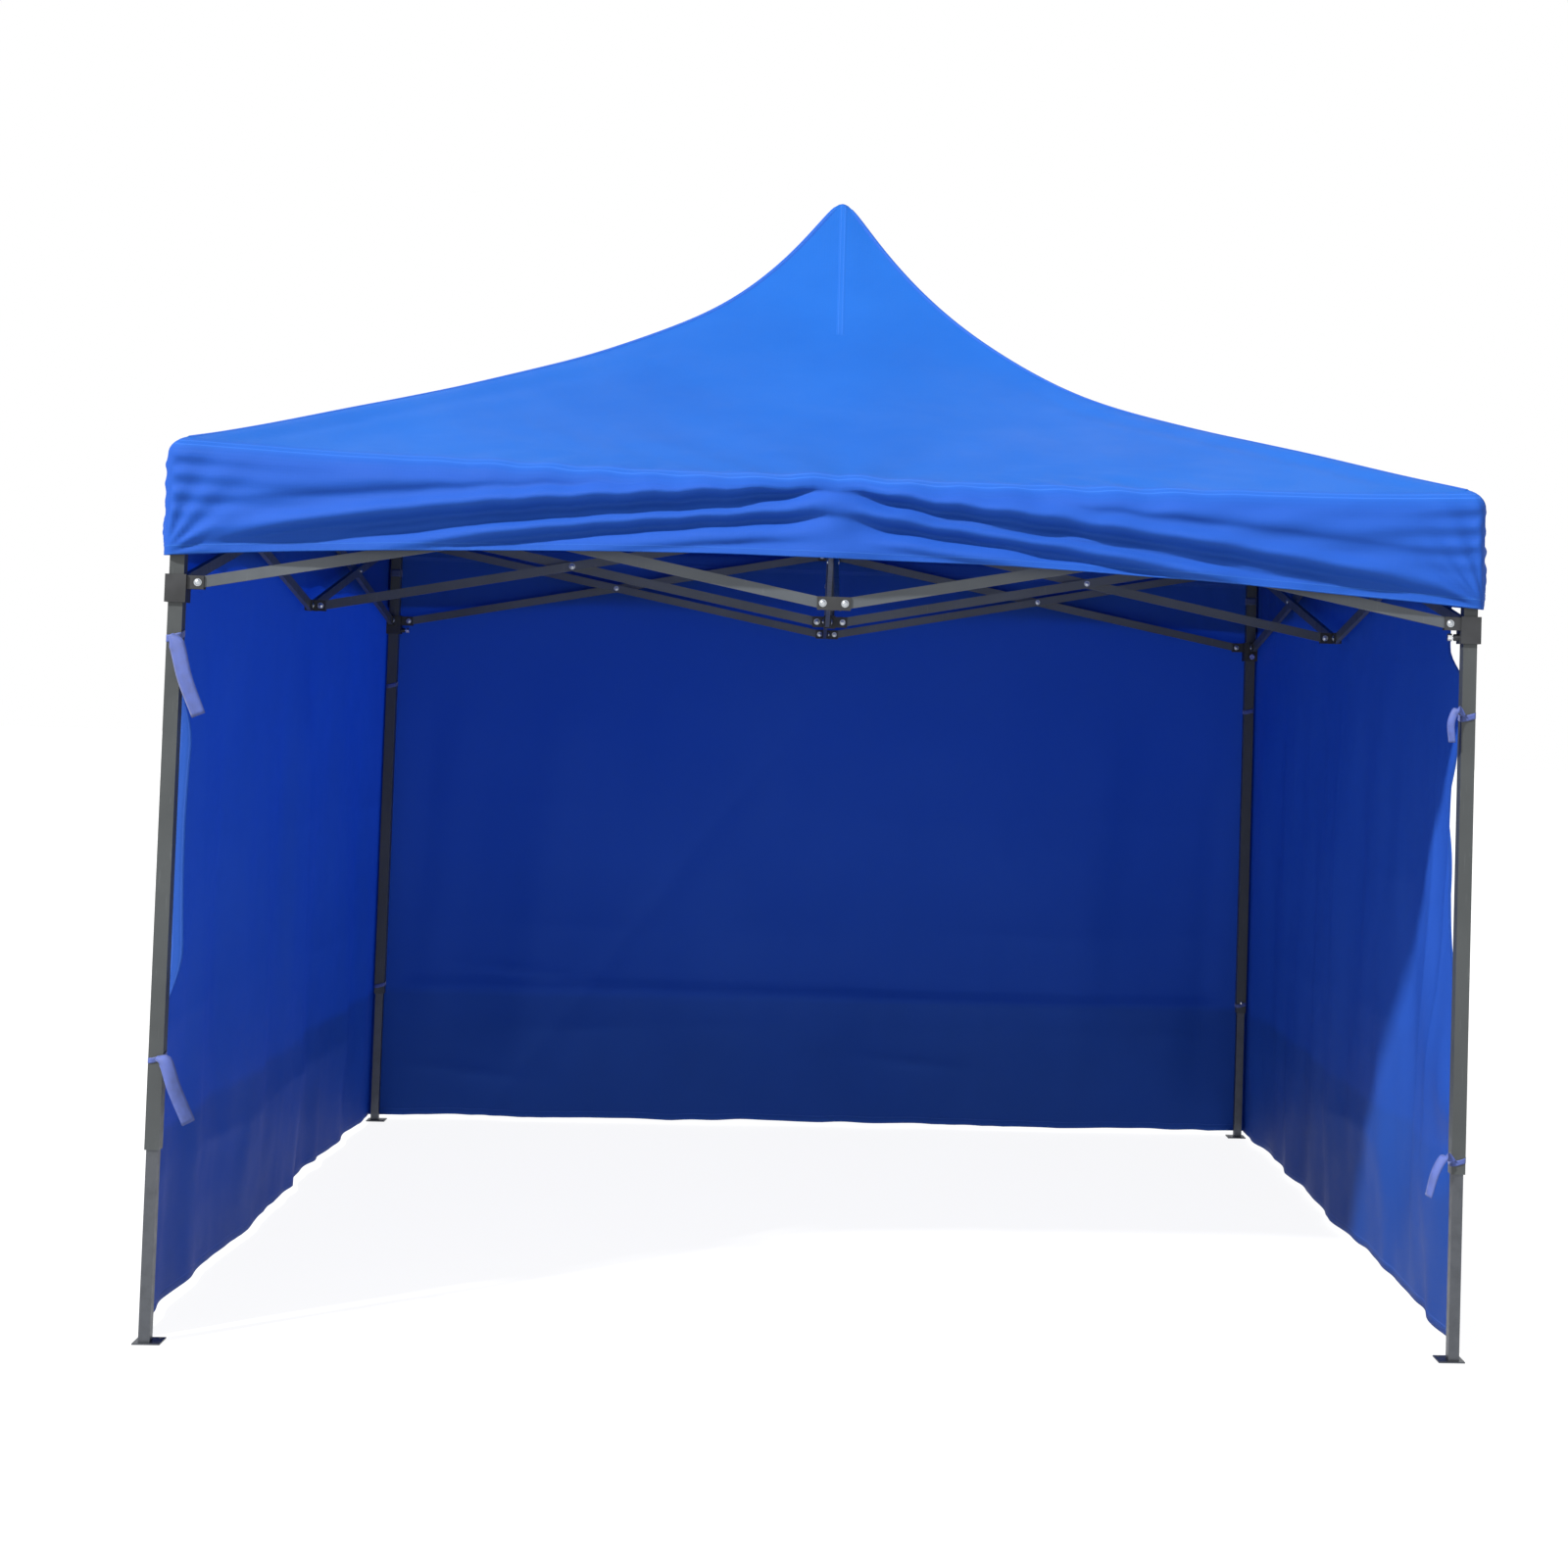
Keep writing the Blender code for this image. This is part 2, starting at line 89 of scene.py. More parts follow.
# The frame, from its CAD solids
leg_low, leg_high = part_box("outer_leg_front_right")
LEG = (leg_low.x + leg_high.x) / 2          # leg centre from the mast, along X and along Y
LEG_HALF = (leg_high.x - leg_low.x) / 2
OUTER_LEG_BOTTOM = leg_low.z
wall_low, wall_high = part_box("wall_back")
WALL_FACE = (wall_low.y + wall_high.y) / 2  # middle of a wall's cloth from the mast
WALL_BOTTOM, WALL_TOP = wall_low.z, wall_high.z
WALL_HALF = WALL_FACE - 0.0012              # the walls lap over the legs and meet in the back corners
PIVOT_RISE = 0.015                          # a pivot over its connector's lower face
UPPER_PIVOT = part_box("mid_top_front")[0].z + PIVOT_RISE
LOWER_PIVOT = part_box("mid_bottom_front")[0].z + PIVOT_RISE
LAYER = 0.0065                              # centre of a layer of bars from the middle of the pair
FORK_HALF = 0.0105                          # bar's centre to a fork's outer face
PAIR_HALF = 0.0125                          # middle of a pair of bars to its outer face
CORNER_REACH = 0.047                        # leg centre to its forks' pivots
MIDDLE_REACH = 0.025                        # middle of a side to its connectors' pivots
HUB_REACH = 0.036                           # mast to a hub's pivots, and a side to its connectors' inner one

# How the cloth gathers while the frame folds
PLEATS = 6                      # in each half of a side
PLEAT_DEPTH = 0.105
PLEAT_OFFSET = 0.036            # keeps the gathered cloth outside the folded bars
CORNER_HEM = (-0.012, 0.003, -0.002, 0.012)     # the hem hangs unevenly: each corner's height over the CAD's


# ---------------------------------------------------------------- numbers and shapes

def turned(points, side):
    """Points of the front side, turned about the mast to another side."""
    x, y, z = points[..., 0], points[..., 1], points[..., 2]
    for _ in range(side % 4):
        x, y = -y, x
    return np.stack([x, y, z], axis=-1)


def smooth(value, low, high):
    """0 before low, 1 after high, and a smooth step between."""
    share = np.clip((value - low) / (high - low), 0.0, 1.0)
    return share * share * (3 - 2 * share)


def bell(value, width):
    return np.exp(-0.5 * (value / width) ** 2)


def ripples(x, y, wavelength, seed, waves=7, stretch=1.0):
    """A smooth random surface of height about 1, from a few plane waves. stretch lengthens them along y."""
    rng = np.random.default_rng(seed)
    total = np.zeros(np.broadcast(x, y).shape)
    for _ in range(waves):
        angle, phase = rng.uniform(0, math.pi), rng.uniform(0, 2 * math.pi)
        number = 2 * math.pi / (wavelength * rng.uniform(0.7, 1.5))
        total = total + np.sin(number * (x * math.cos(angle) + y * math.sin(angle) / stretch) + phase)
    return total / math.sqrt(waves)


def run_of(line):
    """How far along a line of points each of them is."""
    return np.concatenate([[0.0], np.cumsum(np.linalg.norm(np.diff(line, axis=0), axis=1))])


def roof_shape(x, y):
    """The CAD roof's height over a point, in shares of the half width."""
    ax, ay = np.abs(x), np.abs(y)
    out = np.maximum(ax, ay)
    along = np.minimum(ax, ay) / np.maximum(out, 1e-9)
    rounded = np.sqrt(out * out + TIP_ROUNDING ** 2) - TIP_ROUNDING * (1 - out)
    slope = (APEX - EAVE - TIP_HEIGHT) * (1 - rounded)
    tip = TIP_HEIGHT * (np.exp(-rounded / TIP_SPREAD) - math.exp(-1 / TIP_SPREAD) * rounded)
    return EAVE + slope + tip - EAVE_SAG * (1 - along * along) * out * out


def roof_z(x, y):
    """The roof's surface: the CAD shape with the slack and the pulls of real cloth. x and y in metres."""
    ax, ay = np.abs(x), np.abs(y)
    out = np.maximum(ax, ay) / HALF
    across = np.minimum(ax, ay) / HALF              # from the middle line of the panel
    off_ridge = np.maximum(out - across, 0.0)       # from the ridge
    height = roof_shape(x / HALF, y / HALF)
    # Panels hang slack between the ridges, most of all half way down
    height = height - 0.012 * np.sin(math.pi * np.clip(out, 0, 1)) * smooth(off_ridge, 0.0, 0.35)
    # Long pulls that run down beside the ridges to the corners, and out from the top of each side
    pull = np.sin(off_ridge * HALF * 2 * math.pi / 0.16 + 0.6 * ripples(x, y, 0.9, 11))
    shown = smooth(out, 0.25, 0.7) * (1 - smooth(out, 0.93, 1.0))
    height = height + 0.0032 * pull * bell(off_ridge, 0.10) * shown
    fan = np.sin(across / np.maximum(1.12 - out, 0.12) * 9.0 + ripples(x, y, 1.3, 12))
    height = height + 0.0030 * fan * smooth(out, 0.55, 0.9) * (1 - smooth(across, 0.35, 0.8))
    height = height + 0.0022 * ripples(x, y, 0.55, 13) * smooth(out, 0.08, 0.3)
    # The front right ridge has gone slack, and the front left one is pulled tight
    ridge = np.clip(-x * y / np.maximum(out * HALF, 1e-6) ** 2, -1, 1)
    right, left = (smooth(ridge, 0, 1) * (x > 0) * (y < 0)), (smooth(-ridge, 0, 1) * (x < 0) * (y < 0))
    height = height - 0.046 * right * bell(out - 0.44, 0.20) + 0.016 * left * smooth(out, 0.10, 0.40)
    # The connector in the middle of a side lifts the eave a little
    return height + 0.008 * bell(across * HALF, 0.10) * bell((out - 0.985) * HALF, 0.055)


# ---------------------------------------------------------------- making objects

def link(made):
    bpy.context.scene.collection.objects.link(made)
    return made


def shade(made, look):
    made.data.materials.append(look)
    made.data.shade_smooth()
    return made


def from_shape(shape, name, look, sharp_degrees):
    """An object from a finished bmesh, smooth but for its sharp edges."""
    bmesh.ops.recalc_face_normals(shape, faces=shape.faces)
    mesh = bpy.data.meshes.new(name)
    shape.to_mesh(mesh)
    shape.free()
    made = shade(link(bpy.data.objects.new(name, mesh)), look)
    mesh.set_sharp_from_angle(angle=math.radians(sharp_degrees))
    return made


def ride(made, body):
    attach(made, body)
    return made


def sheet_mesh(name, points, cloth, edge, seam, closed=False, tip=None):
    """A sheet from rows of points, rows x columns x 3. cloth gives each column's place along the rows of the
    uncut cloth and the way down it, rows x (columns + 1) x 2 where the rows close. edge and seam are the
    distances to the nearest hem and seam. tip closes the first row with a fan."""
    rows, columns = points.shape[:2]
    vertices = points.reshape(-1, 3)
    steps = columns if closed else columns - 1
    row, column = np.meshgrid(np.arange(rows - 1), np.arange(steps), indexing="ij")
    after = (column + 1) % columns
    quads = np.stack([
        row * columns + column, (row + 1) * columns + column,
        (row + 1) * columns + after, row * columns + after,
    ], axis=-1).reshape(-1, 4)
    faces = quads.tolist()
    corners = np.stack([
        cloth[row, column], cloth[row + 1, column], cloth[row + 1, column + 1], cloth[row, column + 1]
    ], axis=-2).reshape(-1, 2)
    if tip is not None:
        centre = len(vertices)
        vertices = np.vstack([vertices, tip])
        faces += [[centre, i, (i + 1) % columns] for i in range(columns)]
        fan = np.repeat(cloth[0, :columns][:, None, :], 3, axis=1).reshape(-1, 2)
        corners = np.vstack([corners, fan])
        edge, seam = np.append(edge.ravel(), edge.ravel()[0]), np.append(seam.ravel(), 1.0)
    mesh = bpy.data.meshes.new(name)
    mesh.from_pydata(vertices.tolist(), [], faces)
    flat = mesh.attributes.new("cloth", "FLOAT_VECTOR", "CORNER")
    flat.data.foreach_set("vector", np.column_stack([corners, np.zeros(len(corners))]).ravel())
    for key, values in (("edge", edge), ("seam", seam)):
        stored = mesh.attributes.new(key, "FLOAT", "POINT")
        stored.data.foreach_set("value", np.asarray(values, float).ravel())
    return link(bpy.data.objects.new(name, mesh))


class Nodes:
    """Adds nodes to a tree."""

    def __init__(self, tree):
        self.tree = tree

    def put(self, socket, value):
        if isinstance(value, bpy.types.NodeSocket):
            self.tree.links.new(value, socket)
        else:
            socket.default_value = value

    def node(self, kind, settings=None, **inputs):
        made = self.tree.nodes.new(kind)
        for key, value in (settings or {}).items():
            setattr(made, key, value)
        for key, value in inputs.items():
            self.put(made.inputs[key], value)
        return made

    def maths(self, operation, *values):
        made = self.node("ShaderNodeMath", {"operation": operation})
        for socket, value in zip(made.inputs, values):
            self.put(socket, value)
        return made.outputs[0]


def gather_with_frame(made):
    """Lets a piece of cloth gather as the legs come in and sink with the mast. At rest it does nothing."""
    count = len(made.data.vertices)
    place = np.empty(count * 3)
    made.data.vertices.foreach_get("co", place)
    x, y, z = place.reshape(-1, 3).T
    out = np.maximum(np.abs(x), np.abs(y))
    nearest = np.minimum(np.abs(x), np.abs(y)) / np.maximum(out, 1e-6)
    reach = np.clip(out / HALF, 0, 1)
    depth = PLEAT_OFFSET + PLEAT_DEPTH * np.sin(math.pi * PLEATS * nearest) ** 2
    toward_corner = smooth(nearest, 0.86, 1.0)
    weight_x = np.where(np.abs(x) >= np.abs(y), 1.0, toward_corner)
    weight_y = np.where(np.abs(y) > np.abs(x), 1.0, toward_corner)
    rise = 0.05 * reach * np.sin(math.pi * PLEATS * nearest) ** 2 * smooth(z, EAVE - 0.03, EAVE)
    pleat = np.stack([
        np.sign(x) * weight_x * depth * reach, np.sign(y) * weight_y * depth * reach, rise
    ], axis=-1)
    stored = made.data.attributes.new("pleat", "FLOAT_VECTOR", "POINT")
    stored.data.foreach_set("vector", pleat.ravel())
    stored = made.data.attributes.new("sink", "FLOAT", "POINT")
    stored.data.foreach_set("value", np.clip((z - EAVE) / (APEX - EAVE), 0, 1))
    made.modifiers.new("gather", "NODES").node_group = gather_group()


def gather_group():
    """Position x (share of the width left, same, 1) + pleat x share of the width gone + sink x mast's way."""
    if "gather" in bpy.data.node_groups:
        return bpy.data.node_groups["gather"]
    group = bpy.data.node_groups.new("gather", "GeometryNodeTree")
    for way in ("INPUT", "OUTPUT"):
        group.interface.new_socket("Geometry", in_out=way, socket_type="NodeSocketGeometry")
    nodes = Nodes(group)

    def moved(body, axis):
        info = nodes.node("GeometryNodeObjectInfo", Object=frame["bodies"][body])
        return nodes.node("ShaderNodeSeparateXYZ", Vector=info.outputs["Location"]).outputs[axis]

    def named(name, kind):
        made = nodes.node("GeometryNodeInputNamedAttribute", {"data_type": kind}, Name=name)
        return made.outputs["Attribute"]

    def vector(operation, first, second, socket=1):
        made = nodes.node("ShaderNodeVectorMath", {"operation": operation})
        nodes.put(made.inputs[0], first)
        nodes.put(made.inputs[socket], second)
        return made.outputs[0]

    inward = nodes.maths("DIVIDE", moved("leg_front_right", "X"), LEG)      # 0 at rest, negative as it folds
    left = nodes.maths("ADD", inward, 1.0)
    place = nodes.node("GeometryNodeInputPosition").outputs[0]
    narrowed = vector("MULTIPLY", place, nodes.node("ShaderNodeCombineXYZ", X=left, Y=left, Z=1.0).outputs[0])
    gone = nodes.maths("MULTIPLY", inward, -1.0)
    pleated = vector("SCALE", named("pleat", "FLOAT_VECTOR"), gone, "Scale")
    sink = nodes.maths("MULTIPLY", named("sink", "FLOAT"), moved("mast", "Z"))
    sunk = nodes.node("ShaderNodeCombineXYZ", Z=sink).outputs[0]
    into, out = nodes.node("NodeGroupInput"), nodes.node("NodeGroupOutput")
    total = vector("ADD", vector("ADD", narrowed, pleated), sunk)
    move = nodes.node("GeometryNodeSetPosition", Geometry=into.outputs[0], Position=total)
    nodes.put(out.inputs[0], move.outputs[0])
    return group


def thicken(made, thickness=FABRIC):
    skin = made.modifiers.new("skin", "SOLIDIFY")
    skin.thickness = thickness
    skin.offset = -1.0
    return made


# ---------------------------------------------------------------- materials

class Look(Nodes):
    """A material whose nodes are added one by one."""

    def __init__(self, name):
        self.made = bpy.data.materials.new(name)
        self.made.use_nodes = True
        super().__init__(self.made.node_tree)
        self.shader = self.tree.nodes["Principled BSDF"]
        self.output = self.tree.nodes["Material Output"]
        self.bump = None

    def threads(self, value, pitch):
        return self.maths("ABSOLUTE", self.maths("SINE", self.maths("MULTIPLY", value, math.pi / pitch)))

    def between(self, value, low, high, first, second):
        """One colour up to low, the other from high on."""
        return self.mixed(self.ranged(value, low, high, 0.0, 1.0), first, second)

    def noise(self, scale, detail=3.0, rough=0.5, where=None):
        where = self.place() if where is None else where
        made = self.node("ShaderNodeTexNoise", Vector=where, Scale=scale, Detail=detail, Roughness=rough)
        return made.outputs["Fac"]

    def place(self):
        """Object coordinates, in metres."""
        return self.node("ShaderNodeTexCoord").outputs["Object"]

    def drawn(self, across, along):
        """Object coordinates for lines that run up."""
        made = self.node("ShaderNodeMapping", Vector=self.place())
        made.inputs["Scale"].default_value = (across, across, along)
        return made.outputs[0]

    def stored(self, name, output="Fac"):
        return self.node("ShaderNodeAttribute", {"attribute_name": name}).outputs[output]

    def ranged(self, value, low, high, to_low, to_high):
        made = self.node("ShaderNodeMapRange", {"clamp": True})
        for socket, number in zip(made.inputs, (value, low, high, to_low, to_high)):
            self.put(socket, number)
        return made.outputs["Result"]

    def mixed(self, share, first, second):
        made = self.node("ShaderNodeMix", {"data_type": "RGBA"})
        for socket, value in zip((made.inputs[0], made.inputs[6], made.inputs[7]), (share, first, second)):
            self.put(socket, (*value, 1.0) if isinstance(value, tuple) else value)
        return made.outputs[2]

    def raise_by(self, height, distance, strength):
        """Adds a bump to those before it."""
        made = self.node("ShaderNodeBump", Height=height, Distance=distance, Strength=strength)
        if self.bump:
            self.put(made.inputs["Normal"], self.bump)
        self.bump = made.outputs[0]

    def finish(self, colour=None, roughness=None, metallic=None, **constants):
        for key, value in (("Base Color", colour), ("Roughness", roughness), ("Metallic", metallic)):
            if value is not None:
                self.put(self.shader.inputs[key], (*value, 1.0) if isinstance(value, tuple) else value)
        for key, value in constants.items():
            self.shader.inputs[key.replace("_", " ")].default_value = value
        if self.bump:
            self.put(self.shader.inputs["Normal"], self.bump)
        return self.made


def scaled(colour, share, lift=0.0):
    return tuple(min(1.0, share * c + lift) for c in colour)


YARN = 0.0009           # between two threads of the oxford weave
RIPSTOP = 0.0075        # between two thick threads
STITCH = 0.0042         # along a row of stitches


def fabric(name, deep, bright, glow, passes, skirt_and_foot_shade=False):
    """Coated oxford polyester. deep and bright are the ends of its colour, glow the light that comes through.
    A wall's version doubles the lowest 43 cm, and paints shade towards its foot, on its colour and on the
    light that comes through."""
    look = Look(name)
    cloth = look.stored("cloth", "Vector")
    split = look.node("ShaderNodeSeparateXYZ", Vector=cloth)
    u, v = split.outputs["X"], split.outputs["Y"]
    edge, seam = look.stored("edge"), look.stored("seam")

    # Threads across and down, and every few of them a thick one
    weave = look.maths("MULTIPLY", look.threads(u, YARN), look.threads(v, YARN))
    thick = look.maths("MAXIMUM", *[
        look.maths("GREATER_THAN", look.threads(value, RIPSTOP), 0.992) for value in (u, v)
    ])

    # Rows of stitches: one above each hem, one on each side of a seam
    run = look.maths("FRACT", look.maths("DIVIDE", look.maths("ADD", u, v), STITCH))
    on = look.maths("LESS_THAN", run, 0.68)

    def row(distance, at):
        near = look.maths("ABSOLUTE", look.maths("SUBTRACT", distance, at))
        return look.maths("LESS_THAN", near, 0.0011)

    rows = look.maths("MAXIMUM", row(edge, 0.020), look.maths("MAXIMUM", row(seam, 0.005), row(edge, 0.0035)))
    stitches = look.maths("MULTIPLY", rows, on)
    folded = look.maths("LESS_THAN", edge, 0.022)
    felled = look.ranged(seam, 0.0085, 0.0105, 1.0, 0.0)
    pucker = look.maths("MULTIPLY", look.noise(90.0, 2.0), look.ranged(edge, 0.0, 0.045, 1.0, 0.0))

    # Cloth that has been folded away many times: soft patches and fine crinkles
    patches = look.noise(1.3, 4.0, 0.6)
    crinkle = look.noise(16.0, 5.0, 0.55)
    colour = look.between(patches, 0.35, 0.68, deep, bright)
    if skirt_and_foot_shade:
        # Painted shade: the cloth's colour gets darker towards a wall's foot
        colour = look.mixed(look.ranged(v, 0.0, 0.9, 0.60, 0.0), colour, scaled(deep, 0.45))
    else:
        # The valance gets a redder, paler tint: painted sheen, standing in for the shine of the coated cloth
        valance_sheen = tuple(part * share for part, share in zip(deep, (2.2, 0.92, 1.02)))
        colour = look.between(v, -0.02, 0.05, colour, valance_sheen)
    for where, share, tint in (
        (thick, 0.20, scaled(deep, 0.55)), (folded, 0.12, scaled(deep, 0.5)),
        (felled, 0.10, scaled(bright, 1.35, 0.02)), (stitches, 0.55, scaled(bright, 1.5, 0.04)),
    ):
        colour = look.mixed(look.maths("MULTIPLY", where, share), colour, tint)
    look.raise_by(crinkle, 0.0040, 0.35)
    look.raise_by(pucker, 0.0020, 0.5)
    look.raise_by(look.maths("ADD", weave, look.maths("MULTIPLY", thick, 0.7)), 0.00025, 0.6)
    layers = look.maths("MULTIPLY", look.maths("ADD", folded, felled), 0.8)
    look.raise_by(look.maths("ADD", stitches, layers), 0.0006, 0.8)
    roughness = look.ranged(look.noise(6.0, 4.0), 0.3, 0.7, 0.40, 0.54)
    look.finish(colour, roughness, Specular_IOR_Level=0.07)
    # Doubled cloth lets less light through: the hems, and the band at the foot of a wall
    double = look.maths("MAXIMUM", folded, look.ranged(v, 0.415, 0.440, 1.0, 0.0) if skirt_and_foot_shade else 0.0)
    double = look.maths("MULTIPLY", double, look.ranged(look.noise(2.2, 3.0), 0.3, 0.7, 0.5, 1.0))
    shine = look.mixed(double, glow, scaled(glow, 0.60 if skirt_and_foot_shade else 0.84))
    # Painted shade: less light comes through towards a wall's foot
    if skirt_and_foot_shade:
        shine = look.mixed(look.ranged(v, 0.0, 1.3, 0.50, 0.0), shine, scaled(glow, 0.4))
    shine = look.mixed(look.ranged(patches, 0.30, 0.70, 0.0, 0.30), shine, scaled(glow, 0.70))
    through = look.node("ShaderNodeBsdfTranslucent", Color=shine, Normal=look.bump)
    blend = look.node("ShaderNodeMixShader")
    blend.inputs[0].default_value = passes
    look.put(blend.inputs[1], look.shader.outputs[0])
    look.put(blend.inputs[2], through.outputs[0])
    look.put(look.output.inputs["Surface"], blend.outputs[0])
    return look.made


def webbing(name, colour):
    """Ribbed tape: straps and ties."""
    look = Look(name)
    split = look.node("ShaderNodeSeparateXYZ", Vector=look.stored("cloth", "Vector"))
    worn = look.noise(40.0, 4.0, 0.6)
    tint = look.between(worn, 0.3, 0.7, scaled(colour, 0.75), scaled(colour, 1.15))
    look.raise_by(worn, 0.0010, 0.3)
    look.raise_by(look.threads(split.outputs["Y"], 0.0016), 0.0003, 0.6)
    return look.finish(tint, look.ranged(worn, 0.3, 0.7, 0.55, 0.75), Sheen_Weight=0.15)


def painted(name, colour, metallic, roughness, dust):
    """Powder-coated steel tube: orange peel, faint handling marks, dust towards the ground."""
    look = Look(name)
    peel = look.node("ShaderNodeTexVoronoi", Vector=look.place(), Scale=420.0).outputs["Distance"]
    marks = look.noise(28.0, 6.0, 0.7)
    cloudy = look.noise(5.0, 3.0)
    scuffs = look.ranged(look.noise(3.0, 5.0, 0.65, look.drawn(60.0, 4.0)), 0.62, 0.72, 0.0, 1.0)
    height = look.node("ShaderNodeSeparateXYZ", Vector=look.place()).outputs["Z"]
    tint = look.between(cloudy, 0.3, 0.7, scaled(colour, 0.86), scaled(colour, 1.12))
    tint = look.mixed(look.maths("MULTIPLY", scuffs, 0.30), tint, scaled(colour, 1.7, 0.05))
    low = look.ranged(height, 0.0, 0.30, dust, 0.0)
    dusty = look.maths("MULTIPLY", low, look.ranged(marks, 0.35, 0.65, 0.3, 1.0))
    tint = look.mixed(dusty, tint, (0.33, 0.29, 0.23))
    look.raise_by(peel, 0.0004, 0.30)
    look.raise_by(marks, 0.0006, 0.15)
    rough = look.ranged(marks, 0.3, 0.7, roughness - 0.07, roughness + 0.10)
    rough = look.maths("ADD", rough, look.maths("MULTIPLY", dusty, 0.3))
    return look.finish(tint, rough, metallic, Specular_IOR_Level=0.5)


def bare_steel(name, colour, roughness, brushed):
    """Zinc or chrome: drawn lines along the tube, small stains."""
    look = Look(name)
    lines = look.noise(4.0, 4.0, 0.6, look.drawn(160.0, 3.0))
    stains = look.noise(24.0, 5.0, 0.65)
    tint = look.mixed(look.ranged(stains, 0.45, 0.75, 0.0, 0.6), colour, scaled(colour, 0.62))
    look.raise_by(lines, 0.0003, brushed)
    rough = look.ranged(look.maths("ADD", lines, stains), 0.7, 1.3, roughness - 0.05, roughness + 0.14)
    return look.finish(tint, rough, 1.0)


def moulded(name, colour):
    """Glass-filled nylon with a spark-eroded grain."""
    look = Look(name)
    grain = look.noise(900.0, 2.0)
    patches = look.noise(14.0, 4.0)
    tint = look.between(patches, 0.3, 0.7, scaled(colour, 0.7), scaled(colour, 1.5))
    look.raise_by(grain, 0.0003, 0.35)
    look.raise_by(patches, 0.0008, 0.12)
    return look.finish(tint, look.ranged(patches, 0.3, 0.7, 0.42, 0.58), Specular_IOR_Level=0.45)


roof_cloth = fabric(
    "canopy_cloth", (0.009, 0.098, 0.410), (0.013, 0.118, 0.465), glow=(0.05, 0.25, 0.80), passes=0.30,
)
wall_cloth = fabric(
    "wall_cloth", (0.020, 0.084, 0.385), (0.027, 0.102, 0.440),
    glow=(0.055, 0.195, 0.70), passes=0.45, skirt_and_foot_shade=True,
)
tie_cloth = webbing("tie_ribbon", (0.036, 0.062, 0.235))
strap_web = webbing("strap_webbing", (0.015, 0.030, 0.10))
bar_paint = painted("bar_paint", (0.064, 0.073, 0.084), 0.30, 0.36, 0.0)
leg_paint = painted("leg_paint", (0.040, 0.045, 0.047), 0.20, 0.38, 0.35)
inner_steel = bare_steel("inner_leg_steel", (0.105, 0.112, 0.125), 0.40, 0.5)
pin_steel = bare_steel("pin_steel", (0.74, 0.75, 0.76), 0.20, 0.15)
bolt_zinc = bare_steel("bolt_zinc", (0.50, 0.53, 0.56), 0.28, 0.1)
plastic = moulded("black_nylon", (0.012, 0.013, 0.015))


def finish_frame():
    """Better materials on the CAD parts that stay."""
    looks = (
        (("inner_bar", "side_bar"), bar_paint), (("outer_leg", "mast"), leg_paint),
        (("inner_leg",), inner_steel), (("slider_pin",), pin_steel),
        (("hub", "mid_", "corner_bracket", "slider_front", "slider_back", "mast_cap"), plastic),
    )
    for name, node in frame["nodes"].items():
        for starts, look in looks:
            if name.startswith(starts):
                node.data.materials.clear()
                node.data.materials.append(look)


# ---------------------------------------------------------------- canopy

COLUMNS = 150                   # along each side
ROOF_ROWS = 56
EAVE_ROWS = 7
VALANCE_ROWS = 52
# How the front's left and right folds differ: at the middle, at the corner, how bent, how deep
FRONT_JITTER = np.array([[0.2, 0.3, 1.5, 0.2], [-0.2, 0.2, -1.6, 0.0]])


